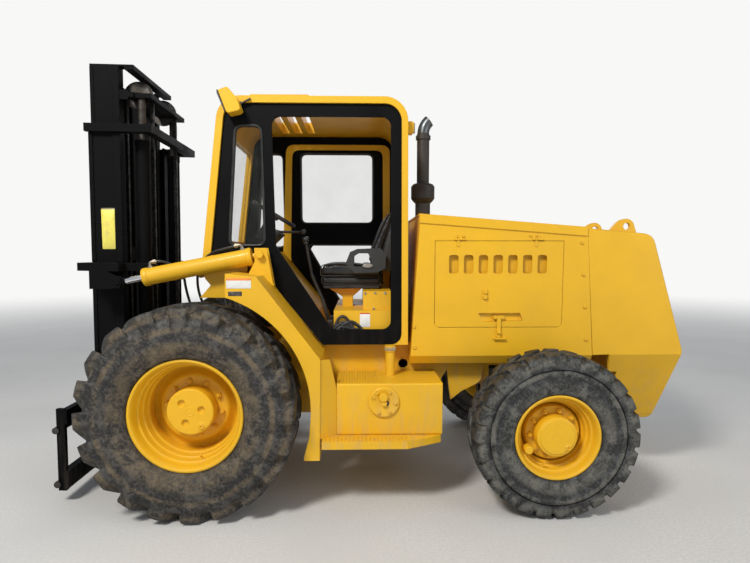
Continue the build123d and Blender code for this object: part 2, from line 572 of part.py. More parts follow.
for x in (1620, 2120):
    knuckle_pair = bar((x - 25, -HOOD_HALF - HINGE_R, HINGE_Z), (x - 9, -HOOD_HALF - HINGE_R, HINGE_Z), HINGE_R)
    knuckle_pair += bar((x + 9, -HOOD_HALF - HINGE_R, HINGE_Z), (x + 25, -HOOD_HALF - HINGE_R, HINGE_Z), HINGE_R)
    knuckle_pair += block(x - 25, x - 9, -HOOD_HALF - 4, -HOOD_HALF, HINGE_Z, HINGE_Z + 22)
    knuckle_pair += block(x + 9, x + 25, -HOOD_HALF - 4, -HOOD_HALF, HINGE_Z, HINGE_Z + 22)
    hood += both_sides(knuckle_pair)
pieces["hood_body"] = hood


def hood_line(x):
    """Height of the hood's top sheet line at a place along it."""
    share = (x - HOOD_FRONT_TOP) / (SEAM_TOP_X - HOOD_FRONT_TOP)
    return HOOD_TOP_FRONT + share * (HOOD_TOP_SEAM - HOOD_TOP_FRONT)


cover_x = HOOD_FRONT_TOP - 6
top_sheet = across(outline((cover_x, hood_line(cover_x)), (cover_x, hood_line(cover_x) + HOOD_T),
                           (SEAM_TOP_X, hood_line(SEAM_TOP_X) + HOOD_T), (SEAM_TOP_X, hood_line(SEAM_TOP_X))),
                   -HOOD_HALF - HOOD_T, HOOD_HALF + HOOD_T)
lip = across(outline((cover_x, hood_line(cover_x) - LIP_H), (cover_x, hood_line(cover_x)),
                     (SEAM_TOP_X, hood_line(SEAM_TOP_X)), (SEAM_TOP_X, hood_line(SEAM_TOP_X) - LIP_H)),
             -HOOD_HALF - HOOD_T, -HOOD_HALF)
pieces["hood_top"] = top_sheet + both_sides(lip)

door_panel = outline((DOOR_X0 + DOOR_GAP, DOOR_Z0 + DOOR_GAP), (DOOR_X0 + DOOR_GAP, DOOR_Z1 - DOOR_GAP),
                     (DOOR_X1 - DOOR_GAP, DOOR_Z1 - DOOR_GAP), (DOOR_X1 - DOOR_GAP, DOOR_Z0 + DOOR_GAP))
door_panel = fillet(door_panel.vertices().sort_by(Axis.Y)[:2], 35)
VENTS = 7
VENT_X0 = 1562
VENT_PITCH = 95
VENT_W = 60
for i in range(VENTS):
    slot = Pos(VENT_X0 + VENT_W / 2 + i * VENT_PITCH, 1482) * RectangleRounded(VENT_W, 118, 18)
    door_panel -= slot
door = across(door_panel, -HOOD_HALF, -HOOD_HALF + HOOD_T)
for x in (1620, 2120):
    door += bar((x - 8.5, -HOOD_HALF - HINGE_R, HINGE_Z), (x + 8.5, -HOOD_HALF - HINGE_R, HINGE_Z), HINGE_R)
    door += block(x - 8.5, x + 8.5, -HOOD_HALF - 4, -HOOD_HALF, HINGE_Z - 45, HINGE_Z)
pieces["hood_door_left"] = door
pieces["hood_door_right"] = mirror(door, Plane.XZ)

# Counterweight: a heavy casting, its lower half drawn in to clear the steered wheels
cw = across(outline((SEAM_TOP_X, HOOD_TOP_SEAM), (CW_TOP_X, CW_TOP_Z), (CW_REAR_X, CW_REAR_Z),
                    (CW_LOW_X, CW_LOW_Z), (2860, CW_LOW_Z), (2660, 640), (2620, FOLD_Z), (SEAM_LOW_X, FOLD_Z)),
            -HOOD_HALF, HOOD_HALF)
wedge = lengthwise(outline((-HOOD_HALF - 50, FOLD_Z), (-HOOD_HALF, FOLD_Z), (-CW_LOW_HALF, CW_LOW_Z),
                           (-CW_LOW_HALF, CW_LOW_Z - 50), (-HOOD_HALF - 50, CW_LOW_Z - 50)), 2300, 3300)
cw -= both_sides(wedge)
cw -= block(SEAM_TOP_X - 50, RAIL_END + 140, -HOOD_HALF + 60, HOOD_HALF - 60, 300, RAIL_TOP)
DUCT_HALF = 330
DUCT_Z0 = 1130
DUCT_Z1 = 1560
SLATS = 8
SLAT_TURN = 25
cw -= block(2400, 3300, -DUCT_HALF, DUCT_HALF, DUCT_Z0, DUCT_Z1)
for i in range(SLATS):
    slat_z = DUCT_Z0 + (i + 0.5) * (DUCT_Z1 - DUCT_Z0) / SLATS
    cw += Pos(2860, 0, slat_z) * Rot(0, SLAT_TURN, 0) * Box(70, 2 * DUCT_HALF + 4, 8)
LUG_Y = 270
EYE = (2835, 1738)
EYE_R = 24
lug_plate = across(outline((2690, 1670), (2800, 1785), (2862, 1785), (2945, 1620)), -LUG_Y - 15, -LUG_Y + 15)
lug_plate -= disc(EYE[0], EYE[1], EYE_R, -LUG_Y - 20, -LUG_Y + 20)
cw += both_sides(lug_plate)
pieces["counterweight"] = cw
radiator = block(2390, 2445, -320, 320, 1060, 1600) + both_sides(block(2390, 2445, -420, -300, RAIL_TOP, 1060))
pieces["radiator"] = radiator
engine = block(1560, 2380, -280, 280, 880, 1560)
for x in (1650, 2220):
    engine += both_sides(block(x, x + 80, -RAIL_Y, -280, RAIL_TOP, RAIL_TOP + 30))
pieces["engine_block"] = engine

# Tanks and steps hang on the rails behind the front wheels
tank = across(outline((851, 452), (851, 770), (1491, 770), (1491, 452)), -850, -RAIL_Y)
tank = fillet(tank.edges().filter_by(Axis.X), 12)
filler = bar((1185, -600, 770), (1185, -600, 925), 30) + bar((1185, -600, 925), (1185, -600, 965), 34)
cover = disc(1135, 657, 92, -862, -850) + disc(1135, 657, 18, -885, -862)
pieces["fuel_tank"] = tank + filler + cover
pieces["hydraulic_tank"] = mirror(tank, Plane.XZ) + bar((1185, 600, 770), (1185, 600, 850), 40)
step = upward(outline((766, -980), (1270, -980), (1482, -856), (1482, -700), (766, -700)), STEP_LOW, STEP_TOP)
pieces["steps"] = both_sides(step)

# Exhaust: base tube, silencer drum, stack with a clamp, and a curved tip open to the rear
STACK_X = 1468
STACK_Y = 150
STACK_R = 46
STACK_TOP = 2440
TIP_BEND = 120
TIP_TURN = 50


def upright_turned(profile, x, y):
    """A turned piece about a vertical axis from its half section in radius and Z."""
    return Pos(x, y, 0) * revolve(Plane.XZ * outline(*profile), axis=Axis.Z)


hood_skin = hood_line(STACK_X) + HOOD_T
stack = upright_turned([
    (0, hood_skin - 40), (56, hood_skin - 40), (56, 1925), (74, 1942), (88, 1962), (88, 2050), (74, 2068),
    (STACK_R, 2078), (STACK_R, 2396), (STACK_R + 9, 2396), (STACK_R + 9, 2424), (STACK_R, 2424),
    (STACK_R, STACK_TOP), (0, STACK_TOP)], STACK_X, STACK_Y)
stack -= across(outline((1300, 1600), (1300, hood_line(1300) + HOOD_T), (1600, hood_line(1600) + HOOD_T), (1600, 1600)),
                -FAR, FAR)
bend = Axis((STACK_X + TIP_BEND, STACK_Y, STACK_TOP), (0, 1, 0))
tip_face = Plane(origin=(STACK_X, STACK_Y, STACK_TOP), x_dir=(1, 0, 0), z_dir=(0, 0, 1)) * Circle(STACK_R - 2)
tip_room = Plane(origin=(STACK_X, STACK_Y, STACK_TOP), x_dir=(1, 0, 0), z_dir=(0, 0, 1)) * Circle(STACK_R - 6)
pieces["exhaust_stack"] = stack
pieces["exhaust_tip"] = revolve(tip_face - tip_room, axis=bend, revolution_arc=TIP_TURN)

# Lamps: two on brackets at the cab's front corners, a small one behind it
LAMP_IN = 568
LAMP_OUT = 672
lamp = across(rounded(outline((184, 2546), (251, 2552), (290, 2411), (241, 2387), (192, 2404), (141, 2510)), 8),
              -LAMP_OUT, -LAMP_IN)
lamp += block(215, 262, -LAMP_IN, -CAB_HALF, 2430, 2480)
lens = across(outline((149.4, 2490.6), (187.2, 2412.5), (180, 2409), (142, 2487)), -LAMP_OUT + 8, -LAMP_IN - 8)
rear_lamp = block(1298.2, 1342, -485, -415, 2312, 2393)
pieces["work_lights"] = both_sides(lamp) + rear_lamp
pieces["lamp_lenses"] = both_sides(lens) + block(1342, 1348, -478, -422, 2320, 2385)


# Mast
def rail_pair(y_out, x_front, depth, width, z0, z1, flange=18, wall=14):
    """A left and right channel with its web outside and both flanges turned in."""
    web = block(x_front, x_front + depth, -y_out, -y_out + wall, z0, z1)
    web += block(x_front, x_front + flange, -y_out, -y_out + width, z0, z1)
    web += block(x_front + depth - flange, x_front + depth, -y_out, -y_out + width, z0, z1)
    return both_sides(web)


def stage_roller(y_out, y_in, x_mid, radius, z):
    """A load roller that runs between the flanges of the channel outside it."""
    return both_sides(disc(x_mid, z, radius, -y_out, -y_in))


CHANNEL_WALL = 14
CHANNEL_FLANGE = 18
mid_y = OUTER_Y - STAGE_W - STAGE_GAP
in_y = mid_y - STAGE_W - STAGE_GAP
rear_edge = RAIL_FRONT + RAIL_DEPTH
outer_mast = rail_pair(OUTER_Y, RAIL_FRONT, RAIL_DEPTH, STAGE_W, 250, OUTER_TOP + 25)
collar = both_sides(block(-775, -352, -490, -OUTER_Y, OUTER_TOP - 25, OUTER_TOP + 25))
tie = block(-412, -352, -490, 490, OUTER_TOP - 25, OUTER_TOP + 25)
tie += both_sides(block(rear_edge, -412, -OUTER_Y, -OUTER_Y + 30, OUTER_TOP - 25, OUTER_TOP + 25))
tie += both_sides(block(-700, -620, -OUTER_Y + CHANNEL_WALL, -mid_y - BEARING_GAP, 2270, 2330))
for z in (300, 1000):
    tie += block(-412, -390, -OUTER_Y, OUTER_Y, z, z + 110)
    tie += both_sides(block(rear_edge, -412, -OUTER_Y, -OUTER_Y + 20, z, z + 110))
foot = across(outline((rear_edge, 500), (-420, 560), (-420, 650), (rear_edge, 720)), -OUTER_Y, -RAIL_Y - 5)
foot -= disc(PIVOT_X, PIVOT_Z, PIVOT_R + BEARING_GAP, -OUTER_Y - 1, -RAIL_Y + 1)
ear = block(-760, -510, -TILT_Y - 42, -OUTER_Y, 1440, 1490) + block(-510, -345, -555, -OUTER_Y, 1440, 1490)
ear_box = block(-690, -580, -TILT_Y - 42, -TILT_Y + 42, 1329, 1441)
ear_plate = outline((-581, 1329), (-581, 1440), (-502, 1400), (-494, 1372), (-502, 1340))
ear_plate = across(ear_plate, -TILT_Y - 42, -TILT_Y - 24) + across(ear_plate, -TILT_Y + 24, -TILT_Y + 42)
ear_plate -= disc(ROD_PIN[0], ROD_PIN[1], ROD_PIN_R, -TILT_Y - 60, -TILT_Y + 60)
ear_plate += disc(ROD_PIN[0], ROD_PIN[1], ROD_PIN_R, -TILT_Y - 50, -TILT_Y + 50) + ear_box
pieces["mast_outer"] = leaned(outer_mast + collar + tie + both_sides(foot + ear + ear_plate))

mid_mast = rail_pair(mid_y, RAIL_FRONT - STAGE_STEP, RAIL_DEPTH - STAGE_STEP, STAGE_W, 300, MIDDLE_TOP)
mid_rear = RAIL_FRONT + RAIL_DEPTH - 2 * STAGE_STEP
mid_mast += block(-590 + 35, -497, -mid_y, mid_y, MIDDLE_TOP - 30, MIDDLE_TOP)
mid_mast += both_sides(block(RAIL_FRONT - STAGE_STEP, -497, -mid_y, -mid_y + STAGE_W, MIDDLE_TOP - 12, MIDDLE_TOP))
CHAIN_Y = 240
SHEAVE = (-516, 2590)
SHEAVE_R = 76
CHAIN_T = 22
CHAIN_W = 26
SHEAVE_PIN_R = 14
crosshead = block(-545, -393, -360, 360, 2556, 2586)
crosshead -= both_sides(block(-612, -410, -CHAIN_Y - 18, -CHAIN_Y + 18, 2500, 2600))
for y in (-CHAIN_Y - 28, -CHAIN_Y + 28):
    crosshead += both_sides(block(-540, -492, y - 8, y + 8, 2580, 2612))
crosshead += both_sides(disc(SHEAVE[0], SHEAVE[1], SHEAVE_PIN_R, -CHAIN_Y - 38, -CHAIN_Y + 38))
mid_mast += crosshead
mid_mast += both_sides(block(-590, -535, -mid_y, -mid_y + 25, 2540, 2600))
mid_mast += both_sides(block(-535, -500, -mid_y, -360, 2556, 2586))
roll_r = RAIL_DEPTH / 2 - CHANNEL_FLANGE - BEARING_GAP
mid_mast += stage_roller(OUTER_Y - CHANNEL_WALL - BEARING_GAP, mid_y, RAIL_FRONT + RAIL_DEPTH / 2, roll_r, 420)
mid_depth = RAIL_DEPTH - STAGE_STEP
mid_mast += both_sides(block(-720, -640, -mid_y + CHANNEL_WALL, -in_y - BEARING_GAP, 2600, 2660))
pieces["mast_middle"] = leaned(mid_mast)
in_mast = rail_pair(in_y, RAIL_FRONT - 2 * STAGE_STEP, RAIL_DEPTH - 2 * STAGE_STEP, 55, 330, INNER_TOP)
for z in (420, 1500, 2560):
    in_mast += block(-632, -620, -in_y + 50, in_y - 50, z, z + 90)
in_depth = RAIL_DEPTH - 2 * STAGE_STEP
in_mast += stage_roller(mid_y - CHANNEL_WALL - BEARING_GAP, in_y, RAIL_FRONT - STAGE_STEP + mid_depth / 2,
                        mid_depth / 2 - CHANNEL_FLANGE - BEARING_GAP, 470)
pieces["mast_inner"] = leaned(in_mast)

# Lift cylinders behind the uprights
CYL_X = -470
CYL_Y = 320
barrels = bar((CYL_X, -CYL_Y, 300), (CYL_X, -CYL_Y, 2250), 45, 30)
barrels += bar((CYL_X, -CYL_Y, 2250), (CYL_X, -CYL_Y, 2290), 48, 25 + BEARING_GAP)
barrels += bar((CYL_X, -CYL_Y, 270), (CYL_X, -CYL_Y, 300), 45)
barrels += block(rear_edge, CYL_X + 60, -OUTER_Y, -CYL_Y + 20, 250, 280)
pieces["lift_barrels"] = leaned(both_sides(barrels))
rods = bar((CYL_X, -CYL_Y, 600), (CYL_X, -CYL_Y, 2556), 25) + bar((CYL_X, -CYL_Y, 560), (CYL_X, -CYL_Y, 620), 29.7)
pieces["lift_rods"] = leaned(both_sides(rods))

# Lift chains over their sheaves: links pinned on a strap, from the carriage's side to the anchors behind
CHAIN_LINK = 130
CHAIN_FRONT_Z = 520
CHAIN_REAR_Z = 1140
wrap_in = SHEAVE_R + BEARING_GAP
wrap_out = wrap_in + CHAIN_T
front_x = SHEAVE[0] - wrap_out
rear_x = SHEAVE[0] + wrap_in
strap_half = CHAIN_W / 2 - 4
wrap = disc(*SHEAVE, wrap_out, -CHAIN_Y - strap_half, -CHAIN_Y + strap_half)
wrap -= disc(*SHEAVE, wrap_in, -CHAIN_Y - CHAIN_W, -CHAIN_Y + CHAIN_W)
wrap &= block(front_x, rear_x + CHAIN_T, -CHAIN_Y - CHAIN_W, -CHAIN_Y + CHAIN_W, SHEAVE[1], SHEAVE[1] + 200)
chain = [wrap]
for x, low in ((front_x, CHAIN_FRONT_Z), (rear_x, CHAIN_REAR_Z)):
    chain.append(block(x, x + CHAIN_T, -CHAIN_Y - strap_half, -CHAIN_Y + strap_half, low, SHEAVE[1]))
    for i in range(int((SHEAVE[1] - low) / CHAIN_LINK)):
        z = low + i * CHAIN_LINK
        chain.append(block(x, x + CHAIN_T, -CHAIN_Y - CHAIN_W / 2, -CHAIN_Y + CHAIN_W / 2, z, z + CHAIN_LINK / 2))
pieces["lift_chains"] = leaned(both_sides(chain[0].fuse(*chain[1:])))
sheave = Pos(SHEAVE[0], -CHAIN_Y, SHEAVE[1]) * ring([
    (SHEAVE_PIN_R + BEARING_GAP, -15), (SHEAVE_R + 9, -15), (SHEAVE_R + 9, -13.5), (SHEAVE_R, -13.5),
    (SHEAVE_R, 13.5), (SHEAVE_R + 9, 13.5), (SHEAVE_R + 9, 15), (SHEAVE_PIN_R + BEARING_GAP, 15)])
pieces["chain_sheaves"] = leaned(both_sides(sheave))

# Carriage
carriage = block(CARRIAGE_FRONT + 25, CARRIAGE_FRONT + 65, -CARRIAGE_HALF, CARRIAGE_HALF, 500, 590)
carriage += block(CARRIAGE_FRONT + 15, CARRIAGE_FRONT + 65, -CARRIAGE_HALF, CARRIAGE_HALF, 95, 205)
carriage += both_sides(block(CARRIAGE_FRONT, CARRIAGE_FRONT + 50, -CARRIAGE_HALF, -CARRIAGE_HALF + 30, 79, 596))
carriage += both_sides(block(CARRIAGE_FRONT + 65, -650, -210, -190, 95, 900))
for z in (180, 800):
    carriage += stage_roller(in_y - CHANNEL_WALL - BEARING_GAP, 210, RAIL_FRONT - 2 * STAGE_STEP + in_depth / 2,
                             in_depth / 2 - CHANNEL_FLANGE - BEARING_GAP, z)
for z in (120, 462):
    carriage -= disc(CARRIAGE_FRONT - 2, z, SHAFT_R, -CARRIAGE_HALF - 1, CARRIAGE_HALF + 1)
pieces["carriage"] = leaned(carriage)
shafts = [disc(CARRIAGE_FRONT - 2, z, SHAFT_R, -CARRIAGE_HALF - 12, CARRIAGE_HALF + 12) for z in (120, 462)]
pieces["fork_shafts"] = leaned(shafts[0] + shafts[1])


# Tilt cylinders, on the line from the clevis on the side plate to the ear on the mast
def tilt_line():
    """The rod pin's place with the mast leaned, and the barrel's direction."""
    lean = math.radians(MAST_LEAN)
    dx = ROD_PIN[0] - PIVOT_X
    dz = ROD_PIN[1] - PIVOT_Z
    x = PIVOT_X + dx * math.cos(lean) + dz * math.sin(lean)
    z = PIVOT_Z - dx * math.sin(lean) + dz * math.cos(lean)
    return Vector(x, -TILT_Y, z), Vector(BARREL_PIN[0], -TILT_Y, BARREL_PIN[1])


rod_end, clevis = tilt_line()
aim = (clevis - rod_end).normalized()
GLAND_OUT = 155
gland = rod_end + aim * GLAND_OUT
barrel = bar(gland, clevis - aim * (BARREL_END + 20), TILT_BARREL_R, 30)
barrel += bar(clevis - aim * (BARREL_END + 20), clevis - aim * BARREL_END, TILT_BARREL_R)
barrel += bar(clevis - aim * BARREL_END, clevis - aim * 20, 19)
barrel += disc(clevis.X, clevis.Z, 38, -TILT_Y - 20, -TILT_Y + 20)
barrel -= disc(clevis.X, clevis.Z, 20 + BEARING_GAP, -TILT_Y - 30, -TILT_Y + 30)
rod = bar(rod_end + aim * 30, rod_end + aim * 560, 18)
rod += disc(rod_end.X, rod_end.Z, EYE_END_R, -TILT_Y - 20, -TILT_Y + 20)
rod -= disc(rod_end.X, rod_end.Z, EYE_BORE_R, -TILT_Y - 30, -TILT_Y + 30)
rod -= disc(rod_end.X, rod_end.Z - PIN_DRIFT, EYE_BORE_R, -TILT_Y - 30, -TILT_Y + 30)
rod -= block(rod_end.X - EYE_BORE_R, rod_end.X + EYE_BORE_R, -TILT_Y - 30, -TILT_Y + 30,
             rod_end.Z - PIN_DRIFT, rod_end.Z)
rod += bar(rod_end + aim * 500, rod_end + aim * 560, 29.7)
pieces["tilt_barrel_left"] = barrel
pieces["tilt_barrel_right"] = mirror(barrel, Plane.XZ)
pieces["tilt_rod_left"] = rod
pieces["tilt_rod_right"] = mirror(rod, Plane.XZ)

# The origin goes under the middle of the whole machine
lows = [shape.bounding_box().min.X for shape in pieces.values()]
highs = [shape.bounding_box().max.X for shape in pieces.values()]
FRONT_AXLE_X = -round((min(lows) + max(highs)) / 2, 3)
print("front axle at X", FRONT_AXLE_X, "length", round(max(highs) - min(lows), 2))
os.makedirs("parts", exist_ok=True)
for name, shape in pieces.items():
    export_step(Pos(FRONT_AXLE_X, 0, 0) * shape, f"parts/{name}.step")
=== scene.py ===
"""Rough-terrain mast forklift: paint, rubber, vinyl, chains and small fittings over its frame.

Metres, in the frame's own axes: +X to the machine's rear, +Y to its right side, +Z up.
"""
import math

import bmesh
import bpy
import numpy as np
from mathutils.geometry import tessellate_polygon
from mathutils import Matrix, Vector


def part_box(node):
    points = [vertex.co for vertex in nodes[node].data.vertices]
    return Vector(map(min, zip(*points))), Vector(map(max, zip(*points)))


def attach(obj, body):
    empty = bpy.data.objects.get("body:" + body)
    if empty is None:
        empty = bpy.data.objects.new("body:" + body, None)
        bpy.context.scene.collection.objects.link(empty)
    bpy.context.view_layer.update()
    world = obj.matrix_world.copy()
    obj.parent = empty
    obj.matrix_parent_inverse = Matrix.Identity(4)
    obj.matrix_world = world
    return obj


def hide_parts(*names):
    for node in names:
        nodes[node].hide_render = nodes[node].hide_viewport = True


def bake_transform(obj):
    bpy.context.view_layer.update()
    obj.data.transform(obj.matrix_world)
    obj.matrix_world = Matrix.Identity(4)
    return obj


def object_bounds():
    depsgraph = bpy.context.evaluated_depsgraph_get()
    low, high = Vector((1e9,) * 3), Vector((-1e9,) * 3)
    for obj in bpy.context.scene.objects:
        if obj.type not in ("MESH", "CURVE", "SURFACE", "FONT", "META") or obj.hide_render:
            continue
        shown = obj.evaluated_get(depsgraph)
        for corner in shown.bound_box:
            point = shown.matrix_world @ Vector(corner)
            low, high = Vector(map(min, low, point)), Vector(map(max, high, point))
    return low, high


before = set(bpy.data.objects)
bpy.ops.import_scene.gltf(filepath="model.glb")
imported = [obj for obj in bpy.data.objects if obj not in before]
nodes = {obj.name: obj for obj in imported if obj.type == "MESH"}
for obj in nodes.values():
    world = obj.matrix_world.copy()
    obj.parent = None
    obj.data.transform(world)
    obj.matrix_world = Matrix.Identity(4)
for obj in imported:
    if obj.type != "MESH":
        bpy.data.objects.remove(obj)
cad_low, cad_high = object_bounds()
wheel_low, wheel_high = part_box("front_rim_left")
axle_x = (wheel_low.x + wheel_high.x) / 2

# Camera: at eye height off the machine's left side, behind the front wheel, tipped down a little.
CAMERA_LENS, CAMERA_SHIFT = 27.93, 0.0405
CAMERA_PLACE = (axle_x + 0.9888, -4.2943, 1.5498)
TIPPED_DOWN, TURNED_RIGHT = 5.713, 1.534
camera_data = bpy.data.cameras.new("camera")
camera_data.sensor_width = 36
camera_data.lens = CAMERA_LENS
camera_data.shift_y = CAMERA_SHIFT
camera = bpy.data.objects.new("camera", camera_data)
camera.location = CAMERA_PLACE
camera.rotation_euler = (math.radians(90 - TIPPED_DOWN), 0, math.radians(-TURNED_RIGHT))
bpy.context.scene.collection.objects.link(camera)
bpy.context.scene.camera = camera
bpy.context.scene.view_settings.view_transform = "Standard"


# Yard: a pale brushed-concrete floor that fades into a white surround, and soft studio lamps.
# The floor is one round sheet. Only the camera sees the white surround, past the machine or through
# glass; all else is lit by a soft pale sky.
def add(tree, kind, inputs=(), **settings):
    """Add a shader node, set its settings, then fill its inputs with plain values or link them."""
    made = tree.nodes.new("ShaderNode" + kind)
    for name, value in settings.items():
        setattr(made, name, value)
    for name, value in dict(inputs).items():
        socket = made.inputs[name]
        if isinstance(value, bpy.types.NodeSocket):
            tree.links.new(value, socket)
        elif getattr(socket, "type", "") == "RGBA" and len(value) == 3:
            socket.default_value = (*value, 1)
        else:
            socket.default_value = value
    return made


def new_material(name):
    """An empty material with its output, and its coordinates on the object."""
    material = bpy.data.materials.new(name)
    material.use_nodes = True
    tree = material.node_tree
    tree.nodes.clear()
    output = add(tree, "OutputMaterial")
    coords = add(tree, "TexCoord").outputs["Object"]
    return material, tree, output, coords


def speckle(tree, coords, scale, low, high, detail=4, rough=0.55):
    """Noise of one scale, spread so that below low it is 0 and above high it is 1."""
    noise = add(tree, "TexNoise", {"Vector": coords, "Scale": scale, "Detail": detail, "Roughness": rough})
    inputs = {"Value": noise.outputs["Fac"], "From Min": low, "From Max": high}
    return add(tree, "MapRange", inputs).outputs["Result"]


def blended(tree, factor, first, second):
    """Two colours mixed by a factor."""
    mix = add(tree, "Mix", {"Factor": factor}, data_type="RGBA")
    for socket, value in ((mix.inputs[6], first), (mix.inputs[7], second)):
        if isinstance(value, bpy.types.NodeSocket):
            tree.links.new(value, socket)
        else:
            socket.default_value = (*value, 1)
    return mix.outputs[2]


def combined(tree, kind, first, second, clamp=True):
    """One sum, product or other operation of two numbers."""
    step = add(tree, "Math", {0: first, 1: second}, operation=kind, use_clamp=clamp)
    return step.outputs[0]


def product(tree, first, second, clamp=True):
    """Two numbers multiplied."""
    return combined(tree, "MULTIPLY", first, second, clamp)


def spread(tree, share, low, high):
    """A number that goes from low to high as a share goes from 0 to 1."""
    return add(tree, "MapRange", {"Value": share, "To Min": low, "To Max": high}).outputs["Result"]


def surfaced(tree, output, inputs):
    """Give a material its surface: the standard shader with these inputs."""
    skin = add(tree, "BsdfPrincipled", inputs)
    tree.links.new(skin.outputs[0], output.inputs["Surface"])


def full_turn(steps):
    """Even turns of a whole circle, in radians."""
    return np.linspace(0, 2 * np.pi, steps + 1)[:-1]


yard, tree, output, coords = new_material("yard_concrete")
YARD_GREY = (0.60, 0.59, 0.57)
YARD_PALE = (0.72, 0.71, 0.69)
SURROUND_WHITE = (0.94, 0.94, 0.93)
HAZE_FROM, HAZE_TO = 5.0, 22.0
grain = speckle(tree, coords, 60, 0.35, 0.65)
cloud = speckle(tree, coords, 0.8, 0.3, 0.7)
tone = blended(tree, product(tree, grain, cloud), YARD_GREY, YARD_PALE)
concrete = add(tree, "BsdfPrincipled", {"Base Color": tone, "Roughness": 0.9})
glow = add(tree, "Emission", {"Color": SURROUND_WHITE, "Strength": 1.0})
far = add(tree, "VectorMath", {0: coords}, operation="LENGTH").outputs["Value"]
haze = add(tree, "MapRange", {"Value": far, "From Min": HAZE_FROM, "From Max": HAZE_TO},
           interpolation_type="SMOOTHSTEP")
blend = add(tree, "MixShader", {0: haze.outputs["Result"], 1: concrete.outputs[0], 2: glow.outputs[0]})
tree.links.new(blend.outputs[0], output.inputs["Surface"])
YARD_RADIUS, YARD_STEPS, UNDER_WHEELS = 60, 64, 0.001
turn = full_turn(YARD_STEPS)
yard_height = np.full(YARD_STEPS, cad_low.z - UNDER_WHEELS)
rim_points = np.stack([YARD_RADIUS * np.cos(turn), YARD_RADIUS * np.sin(turn), yard_height], 1)
yard_mesh = bpy.data.meshes.new("yard")
yard_mesh.from_pydata(rim_points, [], [list(range(YARD_STEPS))])
yard_floor = bpy.data.objects.new("yard", yard_mesh)
yard_mesh.materials.append(yard)
bpy.context.scene.collection.objects.link(yard_floor)

world = bpy.data.worlds.new("surround")
bpy.context.scene.world = world
world.use_nodes = True
sky = world.node_tree
sky.nodes.clear()
path = add(sky, "LightPath")
seen = combined(sky, "MAXIMUM", path.outputs["Is Camera Ray"], path.outputs["Is Transmission Ray"])
soft = add(sky, "Background", {"Color": (0.86, 0.92, 1.0), "Strength": 0.42})
white = add(sky, "Background", {"Color": SURROUND_WHITE, "Strength": 1.0})
pick = add(sky, "MixShader", {0: seen, 1: soft.outputs[0], 2: white.outputs[0]})
add(sky, "OutputWorld", {"Surface": pick.outputs[0]})


def lamp(name, at, towards, size, power, colour=(1, 1, 1)):
    """A square soft lamp at a place, turned to face a point."""
    data = bpy.data.lights.new(name, "AREA")
    data.shape = "SQUARE"
    data.size = size
    data.energy = power
    data.color = colour
    made = bpy.data.objects.new(name, data)
    made.location = at
    aim = Vector(towards) - Vector(at)
    made.rotation_euler = aim.to_track_quat("-Z", "Y").to_euler()
    bpy.context.scene.collection.objects.link(made)


MACHINE_MIDDLE, SUN_WARM = (0, 0, 1.0), (1, 0.97, 0.92)
lamp("key", (-3.2, -6.0, 6.8), MACHINE_MIDDLE, 1.6, 590, SUN_WARM)
lamp("fill", (6.5, -5.5, 3.5), MACHINE_MIDDLE, 5.0, 150)
lamp("back", (0.5, 7.5, 5.5), MACHINE_MIDDLE, 5.0, 120)

# Body paint: two-pack orange-yellow sprayed on folded steel and on castings, with a light peel.
# It dulls in patches, carries dust on its low parts, and rubs thin on its edges.
BODY_YELLOW = (0.79, 0.445, 0.014)
BODY_DULL = (0.69, 0.385, 0.017)
YARD_DUST = (0.36, 0.30, 0.22)


def soft_edges(tree, radius):
    """The surface's direction with its edges rounded over a radius, and how near an edge it is."""
    round_over = add(tree, "Bevel", {"Radius": radius}, samples=4)
    flat = add(tree, "NewGeometry").outputs["Normal"]
    agree = add(tree, "VectorMath", {0: round_over.outputs[0], 1: flat},
                operation="DOT_PRODUCT").outputs["Value"]
    near = add(tree, "MapRange", {"Value": agree, "From Min": 0.998, "From Max": 0.90})
    return round_over.outputs[0], near.outputs["Result"]


def height_share(tree, coords, low, high):
    """1 at a low place on the machine, falling to 0 at a high one."""
    split = add(tree, "SeparateXYZ", {0: coords})
    fall = add(tree, "MapRange", {"Value": split.outputs["Z"], "From Min": high, "From Max": low})
    return fall.outputs["Result"]


def painted(name, colour, dull, under, dust_top=0.9, rough=0.36, peel=0.05, edge=0.004, worn=0.6, coat=0.08,
            gloss=0.34, dirt=0.75):
    """Sprayed paint: peel in the surface, dull patches, dust low down, worn edges showing what is under."""
    material, tree, output, coords = new_material(name)
    normal, near_edge = soft_edges(tree, edge)
    patches = speckle(tree, coords, 3.5, 0.35, 0.75)
    upright = add(tree, "VectorMath", {0: coords, 1: (9, 9, 1.5)}, operation="MULTIPLY").outputs[0]
    streaks = speckle(tree, upright, 2.5, 0.45, 0.8)
    tone = blended(tree, product(tree, patches, 0.75), colour, dull)
    low_down = height_share(tree, coords, 0.05, dust_top)
    settled = product(tree, product(tree, low_down, streaks), dirt)
    tone = blended(tree, settled, tone, YARD_DUST)
    scratches = speckle(tree, coords, 45, 0.52, 0.66, detail=6)
    rubbed = product(tree, product(tree, near_edge, scratches), worn)
    tone = blended(tree, rubbed, tone, under)
    shine = spread(tree, combined(tree, "MAXIMUM", settled, patches), rough, rough + 0.22)
    fine = add(tree, "TexNoise", {"Vector": coords, "Scale": 260.0, "Detail": 2.0})
    bump = add(tree, "Bump", {"Height": fine.outputs["Fac"], "Strength": peel, "Distance": 0.001,
                              "Normal": normal})
    surfaced(tree, output, {"Base Color": tone, "Roughness": shine, "Normal": bump.outputs[0],
                            "Coat Weight": coat, "Coat Roughness": 0.12, "Specular IOR Level": gloss})
    return material


def dressed(material, *names):
    """Give the frame's own pieces a finish, without touching their shape."""
    for name in names:
        if name in nodes:
            mesh = nodes[name].data
            mesh.materials.clear()
            mesh.materials.append(material)


